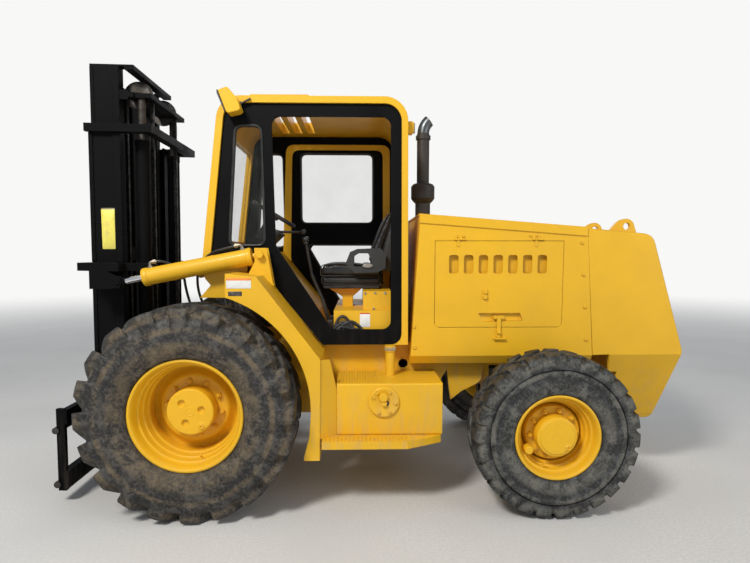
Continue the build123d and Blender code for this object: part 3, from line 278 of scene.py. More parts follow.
body_paint = painted("body_paint", BODY_YELLOW, BODY_DULL, (0.16, 0.12, 0.08))
dressed(body_paint, "side_plates", "fuel_tank", "hydraulic_tank", "cab_front", "cab_roof", "cab_rear",
        "hood_body", "hood_top", "toe_panel", "seat_pedestal", "tilt_barrel_left", "tilt_barrel_right")
chassis_paint = painted("chassis_paint", BODY_YELLOW, BODY_DULL, (0.10, 0.08, 0.06), dust_top=1.3, rough=0.5)
dressed(chassis_paint, "chassis_frame", "steps")

# Running gear: axle housings, knuckles and the cab's floor plate in dark primer under road dirt.
gear_paint = painted("gear_primer", (0.055, 0.052, 0.048), (0.09, 0.08, 0.068), (0.2, 0.16, 0.12),
                     dust_top=1.6, rough=0.6, peel=0.12, edge=0.004)
dressed(gear_paint, "rear_axle", "cab_floor")

# Mast and carriage: rolled channels in satin black, rubbed grey along their edges.
mast_paint = painted("mast_paint", (0.003, 0.003, 0.0033), (0.006, 0.006, 0.006), (0.07, 0.065, 0.06),
                     dust_top=0.7, rough=0.55, worn=0.4, coat=0.0, gloss=0.07, dirt=0.15)
dressed(mast_paint, "mast_outer", "mast_middle", "mast_inner", "carriage", "lift_barrels")

# Cab sides: black powder coat on the door frame and the panels that are let into the hoop.
cab_coat = painted("cab_coat", (0.003, 0.0031, 0.0036), (0.006, 0.006, 0.0065), (0.06, 0.056, 0.05),
                   dust_top=1.2, rough=0.45, worn=0.25, coat=0.0, gloss=0.08, dirt=0.15)
dressed(cab_coat, "cab_side_left", "cab_side_right")


# Glass: flat safety panes with a faint green tint and a film of dust.
def glass(name, tint, clear, dusty=0.25):
    """A thin pane: tinted, mostly clear, with streaks of dust that dull its gloss."""
    material, tree, output, coords = new_material(name)
    film = speckle(tree, coords, 6, 0.35, 0.8)
    rough = spread(tree, film, 0.02, dusty)
    tone = blended(tree, product(tree, film, 0.3), tint, (0.30, 0.29, 0.26))
    alpha = spread(tree, film, clear, clear + 0.04)
    surfaced(tree, output, {"Base Color": tone, "Roughness": rough, "Alpha": alpha,
                            "Specular IOR Level": 0.6})
    return material


pane_glass = glass("pane_glass", (0.03, 0.04, 0.036), 0.09, 0.08)
dressed(pane_glass, "cab_glass")
lens_glass = glass("lens_glass", (0.25, 0.27, 0.28), 0.75)


# Engine, radiator and exhaust: dull iron behind the vents, and a heat-browned stack.
def bare_metal(name, colour, stain, rough, metal=1.0, scale=30, bump_size=0.1):
    """Bare or oily metal: a second tone in patches, and roughness that follows them."""
    material, tree, output, coords = new_material(name)
    patches = speckle(tree, coords, scale, 0.35, 0.7)
    tone = blended(tree, patches, colour, stain)
    shine = spread(tree, patches, rough, rough + 0.2)
    fine = add(tree, "TexNoise", {"Vector": coords, "Scale": 400.0, "Detail": 2.0})
    bump = add(tree, "Bump", {"Height": fine.outputs["Fac"], "Strength": bump_size, "Distance": 0.0006})
    surfaced(tree, output, {"Base Color": tone, "Roughness": shine, "Normal": bump.outputs[0],
                            "Metallic": metal})
    return material


iron = bare_metal("engine_iron", (0.055, 0.055, 0.058), (0.09, 0.08, 0.07), 0.55, metal=0.0, bump_size=0.3)
dressed(iron, "engine_block", "radiator")
stack_black = bare_metal("stack_black", (0.018, 0.017, 0.016), (0.05, 0.035, 0.026), 0.5, metal=0.0, scale=9)
dressed(stack_black, "exhaust_stack")
tip_metal = bare_metal("tip_metal", (0.13, 0.14, 0.145), (0.07, 0.07, 0.07), 0.32, scale=12)
dressed(tip_metal, "exhaust_tip")
chrome = bare_metal("rod_chrome", (0.78, 0.78, 0.8), (0.6, 0.6, 0.62), 0.08, scale=4, bump_size=0.02)
# Dark metal for the fork shafts and the chain sheaves. The lift rods are chrome, but get this dark metal too
# as painted shade, standing for the mast's shadow that falls on them.
shaft_metal_and_rod_shade = bare_metal("shaft_metal_and_rod_shade", (0.10, 0.095, 0.09), (0.05, 0.04, 0.032), 0.45, scale=14)
dressed(shaft_metal_and_rod_shade, "fork_shafts", "chain_sheaves", "lift_rods")
chain_metal = bare_metal("chain_metal", (0.05, 0.048, 0.045), (0.02, 0.018, 0.016), 0.5, scale=40)
dressed(chain_metal, "lift_chains")


# Driver's controls: moulded black plastic with a fine grain, on the levers and the pedals too.
def moulded(name, colour, rough, grain=500, depth=0.15):
    """Moulded plastic or rubber: a fine even grain and dusty patches."""
    material, tree, output, coords = new_material(name)
    normal = soft_edges(tree, 0.003)[0]
    patches = speckle(tree, coords, 12, 0.4, 0.8)
    tone = blended(tree, product(tree, patches, 0.35), colour, (0.11, 0.1, 0.085))
    cells = add(tree, "TexVoronoi", {"Vector": coords, "Scale": float(grain)})
    bump = add(tree, "Bump", {"Height": cells.outputs["Distance"], "Strength": depth, "Distance": 0.0008,
                              "Normal": normal})
    surfaced(tree, output, {"Base Color": tone, "Roughness": spread(tree, patches, rough, rough + 0.2),
                            "Normal": bump.outputs[0]})
    return material


control_plastic = moulded("control_plastic", (0.018, 0.018, 0.019), 0.45)
dressed(control_plastic, "floor_levers", "pedals")


# Tyres: moulded rubber, a smooth carcass and deep bars of tread that sweep back to each shoulder.
# The front pair is caked in dried mud between its bars, and the rear pair is dusty grey.
def patch(points, close_rows=False, close_columns=False):
    """A grid of points, rows by columns, as a list of points and the four-cornered faces between them."""
    rows, columns = points.shape[:2]
    index = np.arange(rows * columns).reshape(rows, columns)
    if close_rows:
        index = np.vstack([index, index[:1]])
    if close_columns:
        index = np.hstack([index, index[:, :1]])
    faces = np.stack([index[:-1, :-1], index[:-1, 1:], index[1:, 1:], index[1:, :-1]], axis=-1)
    return points.reshape(-1, 3), faces.reshape(-1, 4)


ONE_POINT, NO_LENGTH = 1e-5, 1e-7


def placed(name, mesh, body, material, crease):
    """A piece from its mesh, sharp where it folds by more than crease degrees, riding on a body."""
    mesh.shade_smooth()
    mesh.set_sharp_from_angle(angle=math.radians(crease))
    mesh.materials.append(material)
    made = bpy.data.objects.new(name, mesh)
    bpy.context.scene.collection.objects.link(made)
    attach(made, body)
    return made


def make(name, body, material, patches, crease=40):
    """One mesh from several patches, in millimetres from the front axle, riding on a body."""
    starts = np.cumsum([0] + [len(points) for points, faces in patches])
    points = np.vstack([points for points, faces in patches]) * 0.001 + (axle_x, 0, 0)
    faces = [face for (_, rows), start in zip(patches, starts) for face in (rows + start).tolist()]
    mesh = bpy.data.meshes.new(name)
    mesh.from_pydata(points, [], faces)
    work = bmesh.new()
    work.from_mesh(mesh)
    bmesh.ops.remove_doubles(work, verts=work.verts, dist=ONE_POINT)
    bmesh.ops.dissolve_degenerate(work, edges=work.edges, dist=NO_LENGTH)
    bmesh.ops.recalc_face_normals(work, faces=work.faces)
    work.to_mesh(mesh)
    work.free()
    return placed(name, mesh, body, material, crease)


def with_bead(tread, bead, wide, sweep):
    """A tyre's half section: its tread's rows, then its bead's, where there is no lug to stand out."""
    return np.array(tread + [(y, radius, y, radius, wide, sweep) for y, radius in bead])


# A row of a tread, from its middle outwards: the carcass's Y and radius, the lug's Y and radius, how wide
# the lug is there against its pitch, and the row's sweep to the rear, in degrees. A row of a bead is only
# its Y and radius.
FRONT_SECTION = with_bead([
    (0, 598, 0, 598, 1.0, 0.0), (8, 598, 8, 598, 1.0, 0.4), (12, 598, 10, 604, 0.9, 0.8),
    (17, 598, 14, 628, 0.86, 1.2), (30, 598, 24, 630, 0.88, 2.2), (70, 596, 70, 630, 0.95, 6.0),
    (115, 591, 118, 629, 1.0, 10.0), (155, 582, 162, 627, 1.06, 13.6), (180, 571, 190, 624, 1.12, 15.8),
    (194, 560, 204, 618, 1.15, 16.8), (201, 548, 211, 606, 1.16, 17.2), (207, 534, 215, 588, 1.16, 17.3),
    (211, 520, 218, 562, 1.14, 17.3), (215, 506, 220, 534, 1.1, 17.2), (218, 490, 221, 508, 1.0, 17.0),
    (220.5, 472, 221.6, 480, 0.9, 16.8), (221.6, 454, 221.8, 455, 0.8, 16.6)], [
    (222, 436), (221, 416), (217, 396), (210, 377), (202, 362), (197, 355), (196, 349), (190, 342),
    (180, 336), (170, 332), (165, 320), (163, 309), (150, 305.4)], 0.7, 16.6)
REAR_SECTION = with_bead([
    (0, 472, 0, 472, 1.0, 0.0), (5, 472, 5, 472, 1.0, 0.3), (8, 472, 7, 476, 0.9, 0.6),
    (11, 472, 10, 487, 0.92, 1.0), (24, 472, 20, 489, 0.94, 2.4), (52, 471, 52, 489, 0.98, 6.0),
    (62, 470, 62, 489, 1.0, 8.6), (72, 469, 72, 488, 1.02, 9.0), (104, 464, 106, 486, 1.05, 9.4),
    (122, 458, 128, 482, 1.08, 9.2), (132, 450, 139, 475, 1.1, 9.0), (138, 440, 144, 462, 1.08, 8.9),
    (141, 428, 146, 444, 1.04, 8.9), (143, 416, 147, 426, 1.0, 8.9), (145, 408, 147, 411, 0.9, 8.9)], [
    (145, 404), (134, 400), (147, 395), (152, 391), (154.5, 384), (154.5, 372), (150, 364), (148.5, 350),
    (150.5, 330), (150.5, 308), (147, 288), (141, 270), (138, 262), (134, 257), (126, 254), (122, 244),
    (120, 233), (107, 228.4)], 0.8, 8.9)
# A column of a pitch: its place across the lug, and how far it stands out from the carcass.
LUG_SHAPE = np.array([(-0.5, 0), (-0.4, 0), (-0.31, 0.02), (-0.25, 0.14), (-0.205, 0.93), (-0.19, 1), (0, 1),
                      (0.19, 1), (0.205, 0.93), (0.25, 0.14), (0.31, 0.02), (0.4, 0)])
WIDE_LUG_SHAPE = np.array([(-0.5, 0), (-0.44, 0), (-0.39, 0.02), (-0.35, 0.14), (-0.315, 0.93), (-0.3, 1),
                           (0, 1), (0.3, 1), (0.315, 0.93), (0.35, 0.14), (0.39, 0.02), (0.44, 0)])


def around(radius, turn, y):
    """Points on a wheel from their radius, their turn from the top in radians and their place on the axle."""
    radius, turn, y = np.broadcast_arrays(radius, turn, y)
    return np.stack([radius * np.sin(turn), y, radius * np.cos(turn)], axis=-1)


def tyre_side(section, lug, count, side, phase):
    """Half a tyre: each point lies between the carcass and the lug by the lug's share of its column.

    A column's place in its pitch goes from even spacing at the middle of the tread to the lug's own
    spacing beside it, and each row is turned by the section's sweep.
    """
    carcass_y, carcass_r, lug_y, lug_r, wide, sweep = section.T[:, :, None]
    even = (np.arange(len(lug)) - len(lug) / 2) / len(lug)
    place, share = lug.T
    own = np.clip(np.abs(section[:, 0]) / 12, 0, 1)[:, None]
    within = even + (np.where(np.abs(place) < 0.45, place * wide, place) - even) * own
    pitch = 2 * np.pi / count
    turn = (np.arange(count)[:, None, None] + within[None]) * pitch + np.radians(sweep) + phase * pitch
    turn = turn.transpose(1, 0, 2).reshape(len(section), -1)
    share = np.tile(share, count)[None]
    radius = carcass_r + (lug_r - carcass_r) * share
    y = carcass_y + (lug_y - carcass_y) * share
    return patch(around(radius, turn, y * side), close_columns=True)


def moved(patches, x, y, z, flip=1):
    """The patches turned to the other side of the machine if flip is -1, then moved to a place."""
    return [(points * (1, flip, 1) + (x, y, z), faces) for points, faces in patches]


def bead_band(section, steps):
    """The hidden inside of a tyre, a plain band from one bead to the other."""
    y, radius = section[-1, 0], section[-1, 1]
    return patch(around(radius, full_turn(steps)[None], np.array([[-y], [y]])), close_columns=True)


def rubber(name, centre, tread_r, dark, pale, mud, rings, muddy):
    """Tyre rubber: dark bars scuffed pale, mud in the roots between them and in rings of the wall.

    A ring of mud rises and falls smoothly about its own distance from the axle.
    """
    material, tree, output, coords = new_material(name)
    local = add(tree, "Mapping", {"Vector": coords,
                                  "Location": (-centre[0], -centre[1], -centre[2])}).outputs[0]
    flat = add(tree, "VectorMath", {0: local, 1: (1, 0, 1)}, operation="MULTIPLY").outputs[0]
    radius = add(tree, "VectorMath", {0: flat}, operation="LENGTH").outputs["Value"]
    cloud = speckle(tree, local, 5, 0.45, 0.56, detail=8, rough=0.68)
    smear = speckle(tree, local, 16, 0.48, 0.62, detail=8, rough=0.72)
    grit = speckle(tree, local, 60, 0.48, 0.6, detail=6, rough=0.75)
    scuff = product(tree, combined(tree, "ADD", smear, product(tree, grit, 0.5)), 0.75)
    tone = blended(tree, scuff, dark, pale)
    root, band = [add(tree, "MapRange", {"Value": radius, "From Min": tread_r - low,
                                         "From Max": tread_r - high}).outputs[0]
                  for low, high in ((0.012, 0.034), (0.075, 0.055))]
    share = product(tree, root, band)
    for middle, reach in rings:
        near = combined(tree, "ABSOLUTE", combined(tree, "SUBTRACT", radius, middle, False), 0.0)
        ring = add(tree, "MapRange", {"Value": near, "From Min": reach, "From Max": reach * 0.35},
                   interpolation_type="SMOOTHSTEP").outputs[0]
        share = combined(tree, "MAXIMUM", share, ring)
    lumps = combined(tree, "ADD", product(tree, smear, 0.5), product(tree, grit, 0.35))
    caked = product(tree, share, combined(tree, "ADD", product(tree, cloud, 0.6), lumps))
    tone = blended(tree, product(tree, caked, muddy), tone, mud)
    grooves = add(tree, "TexWave", {"Vector": add(tree, "CombineXYZ", {"X": radius}).outputs[0],
                                    "Scale": 55.0, "Distortion": 0.6}, bands_direction="X").outputs["Fac"]
    fine = add(tree, "TexNoise", {"Vector": local, "Scale": 140.0, "Detail": 8.0,
                                  "Roughness": 0.7}).outputs["Fac"]
    height = combined(tree, "ADD", product(tree, grooves, 0.1), fine, False)
    bump = add(tree, "Bump", {"Height": height, "Strength": 0.55, "Distance": 0.004}).outputs[0]
    surfaced(tree, output, {"Base Color": tone, "Roughness": spread(tree, caked, 0.55, 0.92), "Normal": bump})
    return material


def wheel_middle(end, word):
    """A wheel's middle in metres: its X and Z are its rim's, its Y is its tyre's."""
    low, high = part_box(f"{end}_rim_{word}")
    centre = (low + high) / 2
    low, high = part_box(f"{end}_tyre_{word}")
    return np.array((centre.x, (low.y + high.y) / 2, centre.z))


FRONT_TONES = {"dark": (0.006, 0.006, 0.006), "pale": (0.085, 0.078, 0.068), "mud": (0.19, 0.142, 0.085),
               "rings": ((0.385, 0.07), (0.50, 0.022)), "muddy": 0.6}
REAR_TONES = {"dark": (0.008, 0.009, 0.0095), "pale": (0.095, 0.097, 0.094), "mud": (0.16, 0.152, 0.125),
              "rings": ((0.383, 0.02), (0.30, 0.045)), "muddy": 0.7}
TYRES = (("front", FRONT_SECTION, LUG_SHAPE, 20, FRONT_TONES),
         ("rear", REAR_SECTION, WIDE_LUG_SHAPE, 26, REAR_TONES))
SIDES = (("left", -1), ("right", 1))
for word, side in SIDES:
    for end, section, lug, count, tones in TYRES:
        middle = wheel_middle(end, word)
        halves = [tyre_side(section, lug, count, -1, 0), tyre_side(section, lug, count, 1, 0.5),
                  bead_band(section, count * len(lug))]
        finish = rubber(f"{end}_rubber_{word}", middle, section[:, 3].max() / 1000, **tones)
        tyre = make(f"{end}_tread_{word}", f"{end}_wheel_{word}", finish,
                    moved(halves, *((middle - (axle_x, 0, 0)) * 1000), flip=-side), crease=32)
        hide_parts(f"{end}_tyre_{word}")


def turned(profile, at, along=(0, -1, 0), steps=32, phase=0.0):
    """A profile of radius and distance rows, turned about an axis that starts at a place.

    A row becomes a circle: the place, plus its distance along the axis, plus its radius times the cosine
    and sine of the turn along two directions square to the axis.
    """
    profile = np.asarray(profile, float)[:, :, None, None]
    along = np.asarray(along, float) / np.linalg.norm(along)
    side = np.cross(along, (0, 0, 1.0) if abs(along[2]) < 0.9 else (1.0, 0, 0))
    side /= np.linalg.norm(side)
    turn = full_turn(steps)[:, None] + phase
    circle = np.cos(turn) * side + np.sin(turn) * np.cross(side, along)
    return patch(np.asarray(at, float) + profile[:, 1] * along + profile[:, 0] * circle, close_columns=True)


def mirrored(patches):
    """The same patches on the machine's other side."""
    return [(points * (1, -1, 1), faces) for points, faces in patches]


BOTH_SIDES = (("left", list), ("right", mirrored))

# Wheels: rims rolled in steps from plate, a dished disc with ten nuts, and the axle's hub drum
# with its cap. All are sprayed body colour, the nuts and the studs' ends too.
rim_paint = painted("rim_paint", BODY_YELLOW, BODY_DULL, (0.30, 0.25, 0.17), dust_top=0.45, rough=0.34,
                    dirt=0.5)
stud_metal = bare_metal("stud_metal", (0.55, 0.53, 0.5), (0.25, 0.2, 0.14), 0.32, scale=60)
FRONT_BARREL = [
    (322, -178), (315, -177), (310, -172), (306, -164), (302, -152), (299, -136), (297, -116), (293, -108),
    (287, -105), (284, -98), (283, -84), (281, -64), (277, -57), (273, -54), (271, -47), (270, -34),
    (268, -14), (264, -7), (260, -4), (258, 3), (257, 20), (257, 60), (257, 100), (262, 112), (276, 120),
    (284, 130), (292, 146), (296, 158), (304, 168), (315, 176), (323, 178), (329, 175), (330, 169),
    (327, 165), (317, 163), (308, 159), (305, 150), (305, 0), (305, -150), (308, -159), (317, -163),
    (327, -165), (330, -169), (329, -175)]
REAR_BARREL = [
    (245, -135), (239, -134), (235, -130), (231, -122), (227, -110), (224, -96), (222, -84), (218, -78),
    (211, -75), (208, -69), (207, -58), (205, -46), (201, -40), (195, -37), (192, -31), (191, -20),
    (189, -10), (185, -5), (181, -2), (180, 6), (180, 40), (180, 62), (186, 74), (202, 88), (212, 100),
    (217, 112), (224, 122), (236, 132), (246, 135), (251, 132), (252, 127), (249, 123), (240, 121),
    (231, 117), (228, 109), (228, 0), (228, -109), (231, -117), (240, -121), (249, -123), (252, -127),
    (251, -132)]
FRONT_DISC = [
    (258, 86), (246, 84), (232, 77), (216, 60), (206, 44), (196, 36), (184, 34), (130, 34), (130, 48),
    (190, 49), (204, 60), (222, 84), (240, 98), (258, 100)]
REAR_DISC = [
    (181, 36), (175, 31), (170, 14), (166, -6), (161, -17), (154, -21), (110, -21), (110, -7), (150, -6),
    (156, 4), (162, 26), (170, 46), (181, 52)]
NUT = [(0, -2), (17, -2), (17, 17), (15, 20), (0, 20)]
STUD = [(0, 18), (8, 18), (8, 29), (6.5, 31), (0, 31)]


def eased(share):
    """0 below 0, 1 above 1, and a smooth S between them."""
    share = np.clip(share, 0, 1)
    return share * share * (3 - 2 * share)


def hub(side_rows, face_r, face_y, marks, steps=160):
    """The hub drum: circles from its back, along its side and over its face to the middle.

    On the face every mark, a round pit, boss or raised ring, moves the surface by its rise times a
    smooth step of how far inside its outer circle a point is, less the same for its inner circle.
    """
    face_rows = [(radius, face_y) for radius in np.linspace(face_r, 0, 52)]
    rows = np.array([*side_rows, *face_rows], float)
    points = around(rows[:, :1], full_turn(steps)[None], rows[:, 1:])
    for degrees, from_middle, outer, inner, rise, blur in marks:
        spot = from_middle * np.array([np.sin(np.radians(degrees)), np.cos(np.radians(degrees))])
        away = np.hypot(points[..., 0] - spot[0], points[..., 2] - spot[1])
        ring = eased((outer - away) / blur) - eased((inner - away) / blur) * (inner > 0)
        points[len(side_rows):, :, 1] += (rise * ring)[len(side_rows):]
    return patch(points, close_columns=True)


FRONT_DRUM = [(0, 60), (124, 60), (124, 36), (138, 30), (138, -64), (136.5, -70), (132, -74), (127, -75)]
FRONT_MARKS = [(-44, 70, 23, 0, 17, 7), (80, 66, 23, 0, 17, 7), (204, 73, 23, 0, 17, 7),
               (0, 0, 27, 22, -2, 2), (0, 0, 14, 0, -1.5, 3), (144, 108, 28, 0, -3, 3)]
REAR_DRUM = [(0, 60), (106, 60), (106, -18), (118, -22), (118, -106), (116, -111), (111, -114), (104, -114.5),
             (102, -116), (101, -119)]
REAR_MARKS = [(0, 0, 30, 26, -1.5, 2), (0, 0, 18, 14, -1.2, 2), (0, 60, 23, 19, -1.2, 2),
              (90, 60, 23, 19, -1.2, 2), (180, 60, 23, 19, -1.2, 2), (270, 60, 23, 19, -1.2, 2),
              (135, 88, 20, 0, -3, 3)]
PLUG = [(0, -1), (7, -1), (7, 6), (13, 6), (15, 4), (15, -3), (0, -3)]
VALVE = [(0, -4), (9, -4), (9, 4), (5, 6), (5, 30), (7, 31), (7, 40), (5.5, 42), (0, 42)]


def round_the_hub(ring_r, y, first, profile, steps):
    """Ten like pieces on a circle about the wheel's axle, standing out from the disc."""
    turns = np.radians(first + 36 * np.arange(10))
    return [turned(profile, (ring_r * np.sin(turn), y, ring_r * np.cos(turn)), steps=steps, phase=turn)
            for turn in turns]


def out_of(degrees, from_middle, y):
    """A place on the wheel by its turn from the top, its distance from the axle and its place along it."""
    return (from_middle * np.sin(np.radians(degrees)), y, from_middle * np.cos(np.radians(degrees)))


WHEELS = (
    ("front", FRONT_BARREL, FRONT_DISC, FRONT_DRUM, (122, -75), FRONT_MARKS, (164, 34, -9),
     out_of(144, 108, -78), (out_of(165, 286, -92), (-0.26, -0.5, 0.85))),
    ("rear", REAR_BARREL, REAR_DISC, REAR_DRUM, (99, -120), REAR_MARKS, (138, -21, -22),
     out_of(135, 88, -123), (out_of(200, 209, -60), (0.3, -0.5, 0.85))))
REAR_BOSS = [(0, -6), (25, -6), (25, 44), (21, 50), (0, 50)]
for word, side in SIDES:
    for end, barrel, disc, drum, face, marks, nut_ring, plug, valve in WHEELS:
        place = (wheel_middle(end, word) - (axle_x, 0, 0)) * 1000
        rings = [patch(around(rows[:, :1], full_turn(120)[None], rows[:, 1:]), True, True)
                 for rows in (np.array(barrel, float), np.array(disc, float))]
        shell = rings + [hub(drum, *face, marks), turned(PLUG, plug, steps=24)]
        shell += round_the_hub(*nut_ring, NUT, 6) + [turned(VALVE, valve[0], valve[1], steps=16)]
        if end == "rear":
            shell.append(turned(REAR_BOSS, out_of(244, 180, -62), steps=28))
        wheel = make(f"{end}_wheel_rim_{word}", f"{end}_wheel_{word}", rim_paint,
                     moved(shell, *place, flip=-side), crease=30)
        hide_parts(f"{end}_rim_{word}")
        make(f"{end}_wheel_studs_{word}", f"{end}_wheel_{word}", rim_paint,
             moved(round_the_hub(*nut_ring, STUD, 12), *place, flip=-side), crease=30)


# Front axle: a cast drive housing, its bevel case in the middle and brake ends, under the chassis rails.
# The rear hubs turn on forged knuckles, each on its kingpin.
FRONT_HUB_Z = 631
half_axle = [(150, 809), (150, 700), (147, 692), (128, 688), (124, 650), (108, 630), (100, 600), (98, 560),
             (98, 300), (104, 262), (122, 232), (158, 196), (184, 160), (192, 130), (192, 60)]
housing = [(0, 930), (70, 930), (70, 809), *half_axle]
whole_axle = [(radius, -y) for radius, y in housing] + housing[::-1]
axle_case = [turned(whole_axle, (0, 0, FRONT_HUB_Z), steps=48)]
CASE_COVER = [(0, 0), (150, 0), (150, 30), (120, 46), (90, 60), (0, 64)]
CASE_INPUT = [(0, 0), (44, 0), (44, 150), (70, 152), (70, 170), (0, 170)]
axle_case += [turned(CASE_COVER, (150, 0, FRONT_HUB_Z), (1, 0, 0), 40),
              turned(CASE_INPUT, (200, 0, FRONT_HUB_Z), (1, 0, 0), 32)]
CASE_BOLTS, BOLT_RING = 12, 136
for i in range(CASE_BOLTS):
    around_case = 2 * np.pi * i / CASE_BOLTS
    bolt_at = (175, BOLT_RING * np.sin(around_case), FRONT_HUB_Z + BOLT_RING * np.cos(around_case))
    axle_case.append(turned([(0, 0), (11, 0), (11, 15), (9, 17), (0, 17)], bolt_at, (1, 0, 0), 6))


def rounded_plate(at, right, up, half, corner, layers, each=5):
    """A plate with rounded corners, as outlines stacked on each other and closed at both ends.

    An outline is a rectangle with a quarter circle at each corner, drawn in by its layer's inset and
    lifted by its layer's height along the direction square to right and up.
    """
    right, up = np.asarray(right, float), np.asarray(up, float)
    turn = np.linspace(0, np.pi / 2, each) + np.arange(4)[:, None] * np.pi / 2
    turn = turn.ravel()
    sign = np.repeat([(1, 1), (-1, 1), (-1, -1), (1, -1)], each, axis=0)
    layers = np.asarray(layers, float)
    inset = layers[:, :1]
    radius = np.maximum(corner - inset, 0.2)
    x = sign[:, 0] * (half[0] - inset - radius) + radius * np.cos(turn)
    z = sign[:, 1] * (half[1] - inset - radius) + radius * np.sin(turn)
    lift = layers[:, 1, None, None] * np.cross(right, up)
    points = np.asarray(at, float) + x[..., None] * right + z[..., None] * up + lift
    middle = np.broadcast_to(points.mean(axis=1, keepdims=True), points.shape)
    return patch(np.concatenate([middle[:1], points, middle[-1:]]), close_columns=True)


RAIL_PAD_Y = 412.5
for side in (-1, 1):
    axle_case.append(rounded_plate((0, side * RAIL_PAD_Y, 625), (1, 0, 0), (0, 1, 0), (90, 22.5), 6,
                                   [(2, 0), (0, 2), (0, 113), (2, 115)]))
housing_piece = make("front_axle_housing", "chassis", gear_paint, axle_case, crease=35)
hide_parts("front_axle")
REAR_X, REAR_Z, KINGPIN = 2135, 490, 700
PIN_HALF = [(55, 90), (52, 94), (20, 94), (20, 120), (0, 120)]
PIN_PROFILE = [(radius, -along) for radius, along in PIN_HALF[::-1]] + PIN_HALF
SPINDLE_PROFILE = [(0, 0), (75, 0), (75, 140), (71, 157), (40, 157), (40, 282), (0, 282)]
forged = [turned(PIN_PROFILE, (REAR_X, -KINGPIN, REAR_Z), (0, 0, 1), 36),
          turned(SPINDLE_PROFILE, (REAR_X, -KINGPIN, REAR_Z), (0, -1, 0), 40)]
for word, facing in BOTH_SIDES:
    knuckle = make(f"steer_knuckle_{word}", f"knuckle_{word}_body", gear_paint, facing(forged),
                   crease=35)
    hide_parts(f"knuckle_{word}")


# Counterweight: a heavy sand casting whose outer corners are rounded over in the mould.
def softened(name, node, body, material, radius, segments=2, least=25):
    """A copy of one of the frame's solids with its sharp edges rounded over by a radius in metres.

    Its doubles are merged and its flat parts joined first, then each chosen edge is bevelled.
    """
    work = bmesh.new()
    work.from_mesh(nodes[node].data)
    bmesh.ops.remove_doubles(work, verts=work.verts, dist=ONE_POINT)
    bmesh.ops.dissolve_limit(work, angle_limit=math.radians(0.5), verts=work.verts, edges=work.edges)
    edges = [edge for edge in work.edges if len(edge.link_faces) == 2
             and edge.calc_face_angle(0) > math.radians(least)]
    bmesh.ops.bevel(work, geom=edges, offset=radius, offset_type="OFFSET", segments=segments, profile=0.5,
                    affect="EDGES", clamp_overlap=True)
    bmesh.ops.triangulate(work, faces=work.faces)
    mesh = bpy.data.meshes.new(name)
    work.to_mesh(mesh)
    work.free()
    made = placed(name, mesh, body, material, 28)
    made.modifiers.new("flats", "WEIGHTED_NORMAL").keep_sharp = True
    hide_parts(node)


def filleted(corners, radii, each=5):
    """A flat outline whose corners are drawn round.

    Each corner becomes a quadratic curve that starts its radius before the corner and ends its radius
    after it: (1-t) squared times the start, plus 2t(1-t) times the corner, plus t squared times the end.
    """
    corners = np.asarray(corners, float)
    radii = np.broadcast_to(radii, len(corners))[:, None]
    back, ahead = np.roll(corners, 1, axis=0) - corners, np.roll(corners, -1, axis=0) - corners
    start = (corners + back / np.linalg.norm(back, axis=1, keepdims=True) * radii)[:, None]
    end = (corners + ahead / np.linalg.norm(ahead, axis=1, keepdims=True) * radii)[:, None]
    t = np.linspace(0, 1, each)[None, :, None]
    curve = (1 - t) ** 2 * start + 2 * t * (1 - t) * corners[:, None] + t ** 2 * end
    return curve.reshape(-1, 2)


def square_to(loop):
    """At each point of a closed outline, the direction of length one that is square to it."""
    ahead = np.roll(loop, -1, axis=0) - np.roll(loop, 1, axis=0)
    across = np.stack([ahead[:, 1], -ahead[:, 0]], axis=1)
    return across / np.linalg.norm(across, axis=1, keepdims=True)


def box_outline(x0, x1, z0, z1):
    """The four corners of an upright rectangle."""
    return [(x0, z0), (x1, z0), (x1, z1), (x0, z1)]


def cut_plate(loops, y0, y1):
    """A flat plate in X and Z with its first outline outside and the rest as holes, from y0 to y1."""
    flat = np.vstack(loops)
    faces = np.array(tessellate_polygon([[(x, z, 0) for x, z in loop] for loop in loops]))
    made = [(np.insert(flat, 1, y, axis=1), faces) for y in (y0, y1)]
    for loop in loops:
        made.append(patch(np.stack([np.insert(loop, 1, y, axis=1) for y in (y0, y1)]), close_columns=True))
    return made


def rounded_sheet(limits, corner, y0, y1):
    """A flat rectangle in X and Z with rounded corners, from one Y to another."""
    return cut_plate([filleted(box_outline(*limits), corner)], y0, y1)


def round_hole(x, z, radius, steps=28):
    """A circle in X and Z."""
    turn = full_turn(steps)
    return np.stack([x + radius * np.cos(turn), z + radius * np.sin(turn)], axis=1)


CASTING = [(2450, 1712), (2880, 1676), (3110, 915), (3107, 890), (3040, 400), (2860, 400), (2700, 592),
           (2640, 765), (2620, 890), (2510, 890)]
CASTING_ROUND = (2, 62, 18, 1, 52, 18, 8, 4, 1, 2)
FOLD_HEIGHT, FOOT_HEIGHT, TOP_HALF, FOOT_HALF = 890, 400, 580, 345
SIDE_EDGE, ROUND_STEPS, CORNER_STEPS = 20, 5, 7
casting_loop = filleted(CASTING, CASTING_ROUND, CORNER_STEPS)
inward = square_to(casting_loop)
WIDER_UP = (TOP_HALF - FOOT_HALF) / (FOLD_HEIGHT - FOOT_HEIGHT)
drawn_in = FOOT_HALF + (casting_loop[:, 1] - FOOT_HEIGHT) * WIDER_UP
reach = np.where(casting_loop[:, 1] >= FOLD_HEIGHT, TOP_HALF, drawn_in)
EDGE_FROM, EDGE_OVER = 2560, 140
eased_edge = SIDE_EDGE * np.clip((casting_loop[:, :1] - EDGE_FROM) / EDGE_OVER, 0, 1)
rows = []
for a in np.linspace(np.pi / 2, 0, ROUND_STEPS):
    drawn = casting_loop + inward * eased_edge * (1 - np.cos(a))
    rows.append(np.insert(drawn, 1, -(reach - eased_edge[:, 0] * (1 - np.sin(a))), axis=1))
rows += [row * (1, -1, 1) for row in rows[::-1]]
hull = [patch(np.stack(rows), close_columns=True)]
rear_fold, front_fold = 3 * CORNER_STEPS + 3, 8 * CORNER_STEPS + 3
